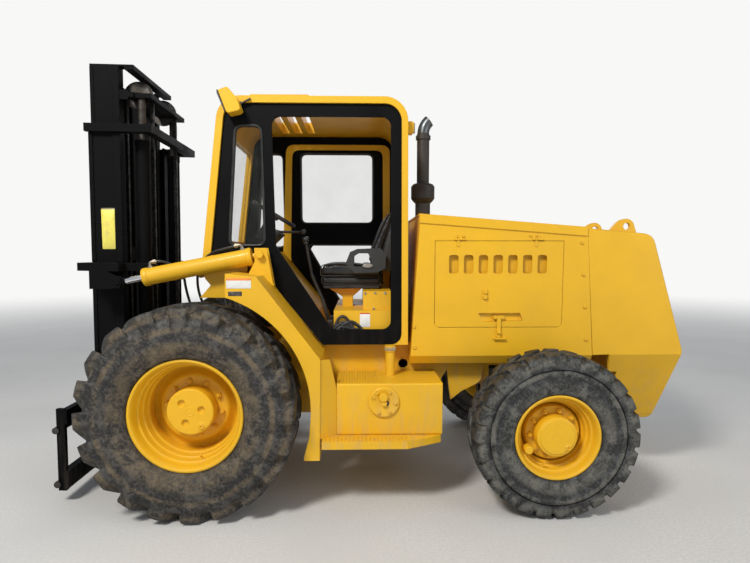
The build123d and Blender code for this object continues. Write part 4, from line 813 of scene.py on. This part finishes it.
around_top = [*range(front_fold, len(casting_loop)), *range(rear_fold + 1)]
around_low = [*range(rear_fold, front_fold + 1)]
for row in (rows[0], rows[-1]):
    for part in (around_top, around_low):
        hull.append((row[part], np.array(tessellate_polygon([[(x, z, 0) for x, y, z in row[part]]]))))


def applied(piece):
    """A piece's mesh with its modifiers applied."""
    return bpy.data.meshes.new_from_object(piece.evaluated_get(bpy.context.evaluated_depsgraph_get()))


def cut_away(target, tool):
    """Cut a tool piece out of another, keep the result as its mesh and drop the tool."""
    step = target.modifiers.new("cut", "BOOLEAN")
    step.operation = "DIFFERENCE"
    step.solver = "EXACT"
    step.object = tool
    bpy.context.view_layer.update()
    cut = applied(target)
    target.modifiers.remove(step)
    target.data = cut
    bpy.data.objects.remove(tool)
    cut.shade_smooth()
    cut.set_sharp_from_angle(angle=math.radians(24))


def solid_box(x0, x1, y0, y1, z0, z1):
    """A closed box from its limits in X, Y and Z."""
    loop = np.array(box_outline(x0, x1, z0, z1), float)
    return cut_plate([loop], y0, y1)


casting = make("counterweight_casting", "chassis", body_paint, hull, crease=24)
DUCT_LOW, DUCT_HIGH, DUCT_HALF = 1130, 1560, 330
DUCT = (2400, 3300, -DUCT_HALF, DUCT_HALF, DUCT_LOW, DUCT_HIGH)
AXLE_POCKET = (2400, 2700, -520, 520, 300, 960)
for number, limits in enumerate((DUCT, AXLE_POCKET)):
    tool = make(f"casting_tool_{number}", "chassis", body_paint, solid_box(*limits))
    cut_away(casting, tool)
casting.modifiers.new("flats", "WEIGHTED_NORMAL").keep_sharp = True
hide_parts("counterweight")
SLATS, SLAT_TURN, SLAT_X = 8, math.radians(25), 2860
slats = []
for i in range(SLATS):
    slat_z = DUCT_LOW + (i + 0.5) * (DUCT_HIGH - DUCT_LOW) / SLATS
    slat = np.array([(-35, -4), (35, -4), (35, 4), (-35, 4)], float)
    slat_x, slat_up = slat.T
    turned_x = SLAT_X + slat_x * math.cos(SLAT_TURN) + slat_up * math.sin(SLAT_TURN)
    turned_z = slat_z - slat_x * math.sin(SLAT_TURN) + slat_up * math.cos(SLAT_TURN)
    slats += cut_plate([np.stack([turned_x, turned_z], axis=1)], -DUCT_HALF - 1, DUCT_HALF + 1)
make("counterweight_slats", "chassis", body_paint, slats)
ear_loop = filleted([(2700, 1686), (2786, 1790), (2872, 1790), (2936, 1600), (2720, 1600)],
                    (10, 50, 46, 4, 4), 8)
ears = [part for y in (-285, 255) for part in cut_plate([ear_loop, round_hole(2835, 1738, 24)], y, y + 30)]
make("counterweight_ears", "chassis", body_paint, ears, crease=30)


# Hood doors: a hinged panel each side with seven vents, a backing sheet behind them, a recessed
# finger tray, a strap latch that hooks the hood below it, and a lock. The sheet is 8 mm thick.
HOOD_SIDE, DOOR_THICK, BACKING_DEEP, HINGE_HEIGHT = -TOP_HALF, 8, 34, 1640
DOOR_HINGES, HOOD_HINGES = (1620, 2120), (1598, 2098)
DOOR_CORNERS = box_outline(1472.5, 2297.5, 1077.5, 1629.5)
TRAY = [(1753, 1168), (1791, 1112), (2043, 1118), (2026, 1168)]
VENTS, VENT_PITCH, VENT_LOW, VENT_HIGH = 7, 95, 1423, 1541
vent_loops = [filleted(box_outline(x, x + 60, VENT_LOW, VENT_HIGH), 19)
              for x in 1562 + VENT_PITCH * np.arange(VENTS)]
tray_loop = filleted(TRAY, 9)
tray_middle = tray_loop.mean(axis=0)
door_loop = filleted(DOOR_CORNERS, (35, 35, 4, 4))
door_patches = cut_plate([door_loop, tray_loop, *vent_loops], HOOD_SIDE, HOOD_SIDE + DOOR_THICK)
tray_rows = [(1.0, 0.2), (1.0, 20), (0.93, 24), (0.0, 24), (0.0, 26), (1.03, 26), (1.03, 8), (1.0, 8)]
tray_steps = [np.insert(tray_middle + (tray_loop - tray_middle) * share, 1, HOOD_SIDE + deep, axis=1)
              for share, deep in tray_rows]
door_patches.append(patch(np.stack(tray_steps), close_columns=True))
backing_y = HOOD_SIDE + BACKING_DEEP
door_patches += rounded_sheet((1540, 2214, 1400, 1566), 12, backing_y, backing_y + 3)
for x0, x1, z0, z1 in ((1540, 1543, 1400, 1566), (2211, 2214, 1400, 1566), (1543, 2211, 1400, 1403),
                       (1543, 2211, 1563, 1566)):
    door_patches += solid_box(x0, x1, HOOD_SIDE + DOOR_THICK, backing_y, z0, z1)


def hinge_barrel(x, long):
    """One barrel of a hinge, a short round bar along the machine."""
    return turned([(0, 0), (5, 0), (6, 1), (6, long - 1), (5, long), (0, long)],
                  (x, HOOD_SIDE - 6, HINGE_HEIGHT), (1, 0, 0), 16)


for x in DOOR_HINGES:
    door_patches.append(hinge_barrel(x - 8.5, 17))
    door_patches += solid_box(x - 8.5, x + 8.5, HOOD_SIDE - 4, HOOD_SIDE, HINGE_HEIGHT - 45, HINGE_HEIGHT)
BOLT = [(0, 0), (9, 0), (9, 1.5), (7, 2), (7, 6), (6, 7.5), (0, 7.5)]
WASHER_BOLT = [(0, 0), (13, 0), (13, 2), (9, 2), (9, 8), (8, 9.5), (0, 9.5)]


def studs(places, y, profile=BOLT):
    """The same bolt at several places in X and Z on a face at one Y."""
    return [turned(profile, (x, y, z), steps=6) for x, z in places]


# the strap swings on a pin in the tray, and its foot hooks under a keeper on the hood
strap = rounded_sheet((1875, 1901, 1010, 1146), 5, HOOD_SIDE - 12, HOOD_SIDE - 7)
strap += rounded_sheet((1853, 1924, 1130, 1152), 5, HOOD_SIDE - 7, HOOD_SIDE + 22)
STRAP_PIN = [(0, 0), (13, 0), (15, 3), (15, 9), (11, 14), (0, 16)]
strap.append(turned(STRAP_PIN, (1888, HOOD_SIDE - 12, 1046), steps=20))
lock = rounded_sheet((1780, 1814, 1256, 1322), 10, HOOD_SIDE - 3, HOOD_SIDE)
LOCK_CAP = [(0, 0), (16, 0), (16, 6), (13, 9), (13, 12), (0, 12)]
LOCK_PIN = [(0, 0), (15, 0), (15, 10), (12, 13), (0, 13)]
lock += [turned(profile, (1797, HOOD_SIDE - 3, z), steps=24)
         for profile, z in ((LOCK_CAP, 1306), (LOCK_PIN, 1272))]
keeper = rounded_sheet((1854, 1934, 998, 1009), 4, HOOD_SIDE - 20, HOOD_SIDE)
keeper += rounded_sheet((1872, 1916, 984, 998), 4, HOOD_SIDE - 4, HOOD_SIDE)
hinge_bolts = studs([(1610, 1659), (1654, 1659), (2080, 1663), (2125, 1663)], HOOD_SIDE)
for x in HOOD_HINGES:
    hinge_bolts += [hinge_barrel(x, 13), hinge_barrel(x + 31, 37)]
seam_bolts = studs([(2415, 1618), (2430, 1414), (2446, 1206), (2461, 992), (1342, 1081), (1345, 945)],
                   HOOD_SIDE, WASHER_BOLT)
for word, facing in BOTH_SIDES:
    door = make(f"hood_door_panel_{word}", f"hood_door_{word}_body", body_paint,
                facing(door_patches))
    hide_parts(f"hood_door_{word}")
    make(f"hood_door_latch_{word}", f"hood_door_{word}_body", body_paint, facing(strap + lock))
    make(f"hood_fasteners_{word}", "chassis", body_paint,
         facing(keeper + hinge_bolts + seam_bolts))


# Seat: black vinyl pads sewn over foam on a dark pan, a moulded shell behind, and two moulded arms.
# Each pad starts a little small, is blown up as cloth, and then gets its piping.
def smooth_line(points, each):
    """A smooth line that starts and ends at its first and last points.

    Between the middles of its runs it is a quadratic curve about each inner point: (1-t) squared
    times the first middle, plus 2t(1-t) times the point, plus t squared times the next middle.
    """
    points = np.asarray(points, float)
    middles = (points[:-1] + points[1:]) / 2
    first = np.vstack([points[:1], middles[1:-1]])[:, None]
    last = np.vstack([middles[1:-1], points[-1:]])[:, None]
    t = np.linspace(0, 1, each + 1)[None, :-1, None]
    curve = (1 - t) ** 2 * first + 2 * t * (1 - t) * points[1:-1][:, None] + t ** 2 * last
    return np.vstack([curve.reshape(-1, 3), points[-1:]])


def carried(line, radius, sides=10, closed=False):
    """A round section carried along a line, its ends closed to points unless the line is closed.

    A section's side is the cross product of the way ahead and the Y axis, and its top is the cross
    product of that side and the way ahead.
    """
    line = np.asarray(line, float)
    ahead = np.roll(line, -1, axis=0) - np.roll(line, 1, axis=0) if closed else np.gradient(line, axis=0)
    ahead /= np.linalg.norm(ahead, axis=1, keepdims=True)
    side = np.cross(ahead, (0, 1, 0))
    side /= np.linalg.norm(side, axis=1, keepdims=True)
    top = np.cross(side, ahead)
    turn = full_turn(sides)
    radius = np.broadcast_to(radius, len(line))[:, None, None]
    circle = np.cos(turn)[:, None] * side[:, None] + np.sin(turn)[:, None] * top[:, None]
    points = line[:, None] + radius * circle
    if closed:
        return patch(points, close_rows=True, close_columns=True)
    ends = [np.broadcast_to(line[at], (1, sides, 3)) for at in (0, -1)]
    return patch(np.concatenate([ends[0], points, ends[1]]), close_columns=True)


vinyl, tree, output, coords = new_material("seat_vinyl")
VINYL_BLACK, VINYL_DUST = (0.012, 0.012, 0.013), (0.06, 0.056, 0.05)
dusty = speckle(tree, coords, 7, 0.45, 0.8)
tone = blended(tree, product(tree, dusty, 0.5), VINYL_BLACK, VINYL_DUST)
cells = add(tree, "TexVoronoi", {"Vector": coords, "Scale": 620.0})
creases = add(tree, "TexNoise", {"Vector": coords, "Scale": 24.0, "Detail": 3.0})
height = combined(tree, "ADD", product(tree, cells.outputs["Distance"], 0.25, False),
                  creases.outputs["Fac"], False)
grain = add(tree, "Bump", {"Height": height, "Strength": 0.25, "Distance": 0.002})
surfaced(tree, output, {"Base Color": tone, "Roughness": spread(tree, dusty, 0.28, 0.55),
                        "Normal": grain.outputs[0]})
arm_plastic = bare_metal("arm_plastic", (0.045, 0.046, 0.047), (0.012, 0.012, 0.013), 0.5, metal=0.0,
                         scale=220)
pan_black = moulded("pan_black", (0.012, 0.012, 0.013), 0.5)


def swept(loop, half, edge, steps=5):
    """A closed X and Z outline carried across the seat, drawn in round its two ends like a pillow.

    At a turn from 0 to a quarter, the outline's Y is half less edge times one minus the sine, and it
    is drawn in along its own outward direction by edge times one minus the cosine.
    """
    out = square_to(loop)
    turn = np.linspace(np.pi / 2, 0, steps)
    rows = [(-(half - edge * (1 - np.sin(a))), edge * (1 - np.cos(a))) for a in turn]
    rows += [(-y, inset) for y, inset in rows[::-1]]
    points = np.stack([np.insert(loop - out * inset, 1, y, axis=1) for y, inset in rows])
    ends = [np.broadcast_to(points[at].mean(axis=0), points[at].shape)[None] for at in (0, -1)]
    return patch(np.concatenate([ends[0], points, ends[1]]), close_columns=True)


def vertex_places(mesh):
    """A mesh's vertices as rows of X, Y and Z."""
    places = np.empty(len(mesh.vertices) * 3)
    mesh.vertices.foreach_get("co", places)
    return places.reshape(-1, 3)


def blown_up(pad, most, voxel=0.006, frames=20, pressure=4.0):
    """Inflate a closed pad as cloth and keep the result, with no point moved further than most, in metres."""
    remesh = pad.modifiers.new("voxels", "REMESH")
    remesh.mode = "VOXEL"
    remesh.voxel_size = voxel
    cooked = applied(pad)
    pad.modifiers.clear()
    pad.data = cooked
    before = vertex_places(cooked)
    cloth = pad.modifiers.new("cloth", "CLOTH")
    cloth.settings.use_pressure = True
    cloth.settings.uniform_pressure_force = pressure
    cloth.settings.effector_weights.gravity = 0
    for step in range(1, frames + 1):
        bpy.context.scene.frame_set(step)
    bpy.context.view_layer.update()
    grown = applied(pad)
    pad.modifiers.clear()
    shift = vertex_places(grown) - before
    far = np.maximum(np.linalg.norm(shift, axis=1, keepdims=True), 1e-9)
    capped = before + shift / far * most * np.tanh(far / most)
    grown.vertices.foreach_set("co", capped.ravel())
    pad.data = grown
    grown.shade_smooth()
    bpy.context.scene.frame_set(1)


PAD_LOOP = filleted([(722, 1397), (1140, 1397), (1140, 1446), (960, 1474), (822, 1480), (726, 1470)],
                    (20, 14, 20, 60, 60, 26), 7)
LAYER_LOOP = filleted([(730, 1338), (1138, 1338), (1141, 1386), (727, 1386)], (16, 14, 12, 16), 7)
BACK_LOOP = filleted([(1066, 1499), (1136, 1500), (1152, 1575), (1212, 1768), (1214, 1822), (1196, 1830),
                      (1158, 1768), (1078, 1575)], (18, 14, 30, 40, 8, 10, 50, 60), 7)
SEAT_PADS = [("seat_pad", PAD_LOOP, 236, 24, 0.010, "seat_cushion"),
             ("seat_layer", LAYER_LOOP, 224, 18, 0.007, None),
             ("seat_back_pad", BACK_LOOP, 226, 26, 0.010, "seat_back")]
for name, loop, half, edge, most, node in SEAT_PADS:
    pad = make(name, "chassis", vinyl, [swept(loop, half, edge)], crease=180)
    if node:
        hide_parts(node)
    blown_up(pad, most)
    pad.data.materials.clear()
    pad.data.materials.append(vinyl)
    smooth = pad.modifiers.new("smooth", "SUBSURF")
    smooth.levels = smooth.render_levels = 1


def piped(loop, y, radius, grow=3.0):
    """A thin round piping that follows an X and Z outline at one Y, lying half out of its surface."""
    middle = loop.mean(axis=0)
    outward = (loop - middle) / np.linalg.norm(loop - middle, axis=1, keepdims=True)
    return carried(np.insert(loop + outward * grow, 1, y, axis=1), radius, sides=8, closed=True)


piping = [piped(loop, side * (half - edge * 0.35), 3.4, most * 1000 * 0.55 - edge * 0.06)
          for name, loop, half, edge, most, node in SEAT_PADS for side in (-1, 1)]
make("seat_piping", "chassis", pan_black, piping)
SHELL_LOOP = filleted([(1150, 1428), (1238, 1428), (1238, 1640), (1234, 1800), (1222, 1834), (1217, 1822),
                       (1216, 1768), (1160, 1585), (1147, 1500)], (14, 14, 30, 30, 8, 4, 20, 30, 20), 5)
make("seat_shell", "chassis", arm_plastic, [swept(SHELL_LOOP, 222, 12)])
PAN_LOOP = filleted([(742, 1306), (1128, 1306), (1136, 1334), (730, 1334)], 6)
make("seat_pan", "chassis", pan_black, [swept(PAN_LOOP, 214, 6)])
softened("seat_arm_mouldings", "seat_arms", "chassis", arm_plastic, 0.008, segments=3)
knob_rows = [(0, 0), (22, 0), (24, 3), (24, 7), (20, 10), (0, 11)]
points, faces = turned(knob_rows, (0, 0, 0), steps=32)
adjuster = (points * (1.5, 1, 0.62) + (1046, -305.5, 1468), faces)
light_plastic = moulded("light_plastic", (0.30, 0.29, 0.26), 0.4)
make("seat_adjuster", "chassis", light_plastic, [adjuster, *mirrored([adjuster])])


# Driver's controls: the dash, its column and wheel as one moulding with its edges eased, a silver knob
# on the travel lever, and a bundle of short control cables at the levers' feet.
softened("dash_and_wheel", "driving_controls", "chassis", control_plastic, 0.003,
         segments=2, least=40)
KNOB_PROFILE = [(0, -4), (17, -2), (25, 8), (26, 18), (22, 28), (12, 34), (0, 36)]
knob = [turned(KNOB_PROFILE, (611, -150, 1636), (-0.12, 0, 1), 28)]
make("travel_knob", "chassis", tip_metal, knob)
boot_rubber = moulded("boot_rubber", (0.014, 0.014, 0.014), 0.42)
CABLES, FLOOR_TOP = 10, 1010
bundle = []
run = np.linspace(0, 1, 9)
for i in range(CABLES):
    arch = np.sin(np.pi * run) ** 0.8 * (0.62 + 0.38 * np.cos(2.2 * run + 1.3 * i))
    cable_z = np.maximum(FLOOR_TOP + 4 + 13 * (i % 4) + (46 + 8 * i) * arch, FLOOR_TOP)
    cable_x = 800 + 16 * (i % 4) + (150 + 9 * (i % 3)) * run ** 1.2
    cable_y = -501 - 4 * np.sin(5 * run + 2 * i)
    cable = smooth_line(np.stack([cable_x, cable_y, cable_z], 1), 5)
    bundle.append(carried(cable, 9.5 - 0.6 * (i % 3)))
make("lever_cables", "chassis", boot_rubber, bundle, crease=60)


# Fuel tank: a bolted round sender cover with its knob and sight notch, a filler neck with a knurled
# cap, and a grip patch on the tank's top. The step's top is serrated all along.
COVER_X, COVER_Z = 1135, 657
COVER_PROFILE = [(0, 0), (78, 0), (80, -1), (84, -1), (88, 0), (92, 3), (93, 8), (93, 15)]
COVER_KNOB = [(0, 0), (22, 0), (27, 4), (28, 20), (24, 27), (0, 30)]
cover = [turned(COVER_PROFILE, (COVER_X, -865, COVER_Z), (0, 1, 0), 64)]
cover += [turned(WASHER_BOLT, (COVER_X + 70 * np.sin(turn), -864, COVER_Z + 70 * np.cos(turn)), steps=6)
          for turn in np.radians((-65, -35, 30, 95, 150, 205))]
cover.append(turned(COVER_KNOB, (COVER_X - 4, -864, COVER_Z + 34), steps=28))
make("tank_cover", "chassis", body_paint, cover)
make("tank_sight", "chassis", boot_rubber,
     [turned([(0, 0), (17, 0), (17, 1.5), (0, 1.5)], (COVER_X + 14, -864.5, COVER_Z - 4), steps=24)])
CAP_RIBS, CAP_X, CAP_Y = 36, 1185, -600
cap_turn = full_turn(CAP_RIBS * 4)[None]
CAP_PROFILE = [(0, 931), (35, 931), (37, 934), (37, 950), (36, 955), (30, 958), (29, 964), (0, 965)]
cap_rows = np.array(CAP_PROFILE, float)
cap_height = cap_rows[:, 1:] + 0 * cap_turn
knurl = 1 + 0.02 * np.cos(CAP_RIBS * cap_turn) * ((cap_height > 930) & (cap_height < 956))
cap_radius = cap_rows[:, :1] * knurl
cap_points = [CAP_X + cap_radius * np.cos(cap_turn), CAP_Y + cap_radius * np.sin(cap_turn), cap_height]
filler_cap = patch(np.stack(cap_points, axis=-1), close_columns=True)
cap_metal = bare_metal("cap_metal", (0.5, 0.45, 0.33), (0.6, 0.36, 0.04), 0.35, metal=0.6, scale=26)
make("filler_cap", "chassis", cap_metal, [filler_cap])


def grip(x0, x1, y0, y1, z, pitch, high):
    """Raised bars across a tread surface, each a low ridge with sloping ends."""
    half, layers = (pitch * 0.22, (y1 - y0) / 2), [(0, 0), (0.4, high * 0.6), (2.2, high)]
    middles = [(x + pitch * 0.35, (y0 + y1) / 2, z) for x in np.arange(x0, x1, pitch)]
    return [rounded_plate(middle, (1, 0, 0), (0, 1, 0), half, pitch * 0.2, layers, 3) for middle in middles]


step_bars = grip(774, 1262, -972, -868, 451.8, 24, 5)
grip_bars = grip(846, 1098, -836, -474, 770, 17, 3.5) + step_bars + mirrored(step_bars)
make("grip_bars", "chassis", chassis_paint, grip_bars)


# Tilt cylinders: a chromed rod with a dark forged eye in the mast's ear, a gland ring, two ports with
# silver elbows, and short black hoses that run from the ports down to the chassis.
ROD_END, CLEVIS = np.array((-505.5, -620, 1372.9)), np.array((375, -620, 1543.0))
aim = (CLEVIS - ROD_END) / np.linalg.norm(CLEVIS - ROD_END)
square = np.cross((0, 1, 0), aim) * -1
hose_rubber = moulded("hose_rubber", (0.012, 0.012, 0.012), 0.4, grain=260)
fitting_metal = bare_metal("fitting_metal", (0.40, 0.37, 0.31), (0.26, 0.22, 0.16), 0.36, scale=30)


def along_rod(distance, out=0.0):
    """A place by its distance from the rod's eye along the cylinder, and out of its top."""
    return ROD_END + aim * distance + square * out


rod_shaft = [turned([(0, 34), (22.5, 34), (22.5, 560), (0, 560)], ROD_END, aim, 36)]
EYE = [(20, -29), (36, -29), (39, -26), (39, 26), (36, 29), (20, 29), (20, -29)]
eye = [turned(EYE, ROD_END, (0, -1, 0), 40),
       turned([(0, 30), (27, 30), (27, 37), (24, 40), (0, 40)], ROD_END, aim, 32)]
GLAND = [(23, 151), (46, 151), (50, 152), (55, 153), (57, 158), (57, 182), (54, 188), (53, 189), (23, 189)]
REAR_CAP = [(0, 808), (56, 808), (57, 811), (57, 834), (53, 841), (0, 841)]
gland = [turned(profile, ROD_END, aim, 48) for profile in (GLAND, REAR_CAP)]
PIN_NUT = [(0, 0), (19, 0), (19, 4), (26, 5), (26, 20), (23, 23), (0, 23)]
pins = [turned(PIN_NUT, (375, -672, 1543), steps=6)]
# a hose's port along the rod, the way its elbow points, and the places its line passes on the way down
HOSE_RUNS = (
    (205, 1, [(-130, -545, 1418), (-136, -500, 1330), (-112, -470, 1200), (-60, -430, 1060),
              (-60, -412, 962)]),
    (790, -1, [(60, -590, 1560), (-40, -545, 1470), (-62, -500, 1330), (-30, -462, 1200), (0, -425, 1060),
               (0, -412, 962)]))
ports, hoses = [], []
for distance, lead, drop in HOSE_RUNS:
    foot, top = along_rod(distance, 50), along_rod(distance, 84)
    ports.append(turned([(0, 0), (16, 0), (16, 12), (0, 12)], foot, square, 24))
    bend = smooth_line([along_rod(distance, 58), top, top + aim * 26 * lead + square * 2,
                        top + aim * 46 * lead + square * -2], 5)
    ports.append(carried(bend, 9.5, sides=14))
    for start, radius in ((20, 13), (30, 15)):
        hexagon = [(0, 0), (radius, 0), (radius, 11), (0, 11)]
        ports.append(turned(hexagon, top + aim * start * lead, aim * lead, 6))
    mouth = top + aim * 42 * lead
    hoses.append(smooth_line([mouth, mouth + aim * 60 * lead - square * 4, *drop], 7))
for word, facing in BOTH_SIDES:
    shaft_piece = make(f"tilt_rod_shaft_{word}", f"tilt_rod_{word}_body", chrome,
                       facing(rod_shaft))
    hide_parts(f"tilt_rod_{word}")
    make(f"tilt_rod_eye_{word}", f"tilt_rod_{word}_body", mast_paint, facing(eye))
    make(f"tilt_gland_{word}", f"tilt_barrel_{word}_body", body_paint, facing(gland + pins))
    make(f"tilt_ports_{word}", f"tilt_barrel_{word}_body", fitting_metal, facing(ports))
    for number, line in enumerate(hoses):
        hose = make(f"tilt_hose_{word}_{number + 1}", f"tilt_barrel_{word}_body",
                    hose_rubber, facing([carried(line, 8.5, sides=12)]))
        hose.parent = None
        start, end = line[0] * 0.001 + (axle_x, 0, 0), line[-1] * 0.001 + (axle_x, 0, 0)
        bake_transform(hose)


# Plates: blank enamelled plates where the machine's notices sit, each with a plain band of colour.
def enamel(name, face, band, band_low):
    """A flat enamel plate, with a second colour above a height in metres."""
    material, tree, output, coords = new_material(name)
    split = add(tree, "SeparateXYZ", {0: coords}).outputs["Z"]
    upper = combined(tree, "GREATER_THAN", split, band_low)
    grime = speckle(tree, coords, 30, 0.5, 0.8)
    tone = blended(tree, product(tree, grime, 0.35), blended(tree, upper, face, band), YARD_DUST)
    surfaced(tree, output, {"Base Color": tone, "Roughness": 0.35})
    return material


def upright_plate(x0, x1, z0, z1, y, corner, layers, each=5):
    """A rounded plate that stands on its edge and faces the machine's left side."""
    return rounded_plate(((x0 + x1) / 2, y, (z0 + z1) / 2), (1, 0, 0), (0, 0, 1),
                         ((x1 - x0) / 2, (z1 - z0) / 2), corner, layers, each)


DARK_ENAMEL, ORANGE_BAND = (0.05, 0.045, 0.04), (0.75, 0.24, 0.03)
PLATES = (
    ("plate_side_white", "chassis", (223, 365, 1350, 1411, -930), (0.75, 0.75, 0.72), ORANGE_BAND, 1.396),
    ("plate_side_dark", "chassis", (233, 312, 1307, 1333, -930), DARK_ENAMEL, DARK_ENAMEL, 2),
    ("plate_mast", "mast", (-673, -582, 1580, 1842, -455), (0.80, 0.70, 0.12), (0.16, 0.13, 0.03), 1.833),
    ("plate_cab", "chassis", (991, 1058, 1069, 1162, -490), (0.78, 0.78, 0.76), (0.5, 0.03, 0.02), 1.155))
for name, body, limits, face, band, band_low in PLATES:
    plate = upright_plate(*limits, 4, [(0, 0), (0, 1.2), (0.6, 1.5)])
    make(name, body, enamel(name, face, band, band_low), [plate])


# Mast: the channel's rolled edges stand proud of its web.
# The mast leans back about its foot pin, so these points lean with it.
PIVOT, LEAN = np.array((-460, 600)), math.radians(1.0)


def leaning(patches):
    """Patches drawn for an upright mast, turned back with it about its foot pin."""
    made = []
    for points, faces in patches:
        x, z = points[:, 0] - PIVOT[0], points[:, 2] - PIVOT[1]
        leant = np.stack([PIVOT[0] + x * math.cos(LEAN) + z * math.sin(LEAN), points[:, 1],
                          PIVOT[1] - x * math.sin(LEAN) + z * math.cos(LEAN)], axis=1)
        made.append((leant, faces))
    return made


def edge_strip(x0, x1, z0, z1, y, proud):
    """A rolled edge: a flat strip with its long corners eased."""
    return upright_plate(x0, x1, z0, z1, y, 3, [(0, 0), (0, proud - 2), (2, proud)], 3)


outer_edges = leaning([edge_strip(x0, x1, z0, z1, -455, 8) for z0, z1 in ((250, 1438), (1492, 2313))
                       for x0, x1 in ((-760, -734), (-606, -560))])
middle_edges = leaning([edge_strip(x0, x1, 2372, 2740, -380, 4.5)
                        for x0, x1 in ((-775, -751), (-632, -590))])
for word, facing in BOTH_SIDES:
    make(f"mast_edges_{word}", "mast", mast_paint, facing(outer_edges))
    make(f"middle_edges_{word}", "mast_middle_stage", mast_paint, facing(middle_edges))


# Cab lining: a folded yellow frame inside the right side panel, and the windows' rubber gaskets.
frame_out = filleted([(366, 1500), (404, 2420), (1236, 2420), (1240, 1085)], (10, 70, 70, 10), 7)
frame_in = filleted([(430, 1500), (452, 2378), (1180, 2378), (1184, 1085)], (10, 60, 60, 10), 7)


def folded(outer, inner, y0, y1):
    """An open band between two X and Z lines, from one Y to another, its two ends closed."""

    def wall(line_a, y_a, line_b, y_b):
        return np.stack([np.insert(line_a, 1, y_a, axis=1), np.insert(line_b, 1, y_b, axis=1)])

    ring = [(outer, y0), (outer, y1), (inner, y1), (inner, y0)]
    walls = [wall(*ring[i], *ring[(i + 1) % 4]) for i in range(4)]
    ends = [np.array([[np.insert(line[at], 1, y) for line, y in (ring[0], ring[1])],
                      [np.insert(line[at], 1, y) for line, y in (ring[3], ring[2])]]) for at in (0, -1)]
    return [patch(points) for points in walls + ends]


make("cab_lining", "chassis", body_paint, folded(frame_out, frame_in, 498, 517.5), crease=30)
gasket_rubber = moulded("gasket_rubber", (0.012, 0.012, 0.012), 0.3)
QUARTER = filleted([(160, 1600), (213, 2350), (378, 2350), (388, 1600)], 50, 7)
UPPER = filleted([(516, 1794), (516, 2354), (1104, 2354), (1104, 1794)], 50, 7)
LOWER = filleted([(560, 1624), (1119, 1624), (1119, 1150), (830, 1150)], 45, 7)
gaskets = [piped(QUARTER, y, 8, -2) for y in (-543, -516)]
gaskets += [piped(loop, y, 8, -2) for loop in (QUARTER, UPPER, LOWER) for y in (543, 516)]
make("window_gaskets", "chassis", gasket_rubber, gaskets, crease=60)

# Lamps: a tapered pressed case behind a dark bezel and its glass, on a black bracket at each front corner
# of the roof, and one small lamp behind the cab on its left.
CASE = np.array([(142, 2528), (190, 2546), (203, 2543), (254, 2484), (276, 2420), (262, 2406), (200, 2392),
                 (187, 2404)])
REAR_CASE = np.array([(1298, 2318), (1298, 2390), (1330, 2393), (1342, 2380), (1342, 2330), (1330, 2314)])
BEZEL = np.array([(133, 2527), (141, 2530), (186, 2404), (178, 2401)])
LENS = np.array([(131, 2517), (134, 2518), (177, 2412), (174, 2411)])


def pressed(loop, y0, y1, corner):
    """A closed X and Z outline carried from one Y to another, its corners drawn round."""
    line = filleted(loop, corner, 4)
    middle = line.mean(axis=0)
    rows = [(y0, 0.0), (y0, 0.94), (y0 + 4, 1.0), (y1 - 4, 1.0), (y1, 0.94), (y1, 0.0)]
    points = np.stack([np.insert(middle + (line - middle) * share, 1, y, axis=1) for y, share in rows])
    return patch(points, close_columns=True)


LAMP_OUT, LAMP_IN = -672, -568
case = [pressed(CASE, LAMP_OUT, LAMP_IN, 7)]
cases = case + mirrored(case) + [pressed(REAR_CASE, -485, -415, 5)]
lamp_cases = make("lamp_cases", "chassis", body_paint, cases, crease=30)
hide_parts("work_lights")
bezel = [pressed(BEZEL, LAMP_OUT - 1, LAMP_IN + 1, 2),
         pressed([(222, 2418), (222, 2486), (262, 2486), (262, 2418)], -575, -556, 3),
         pressed([(262, 2470), (262, 2478), (318, 2508), (322, 2500)], -575, -561, 2)]
make("lamp_bezels", "chassis", arm_plastic, bezel + mirrored(bezel), crease=30)
glasses = [pressed(LENS, LAMP_OUT + 8, LAMP_IN - 8, 1)]
rear_glass = [pressed([(1342, 2322), (1342, 2384), (1348, 2384), (1348, 2322)], -478, -422, 1)]
lenses = make("lamp_glasses", "chassis", lens_glass, glasses + mirrored(glasses) + rear_glass,
              crease=30)
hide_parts("lamp_lenses")

# Cab fasteners: the bolts of the seat box.
seat_box_bolts = studs([(1028, 1288), (1094, 1291), (1158, 1290), (1083, 1186)], -450)
make("seat_box_bolts", "chassis", stud_metal, seat_box_bolts)
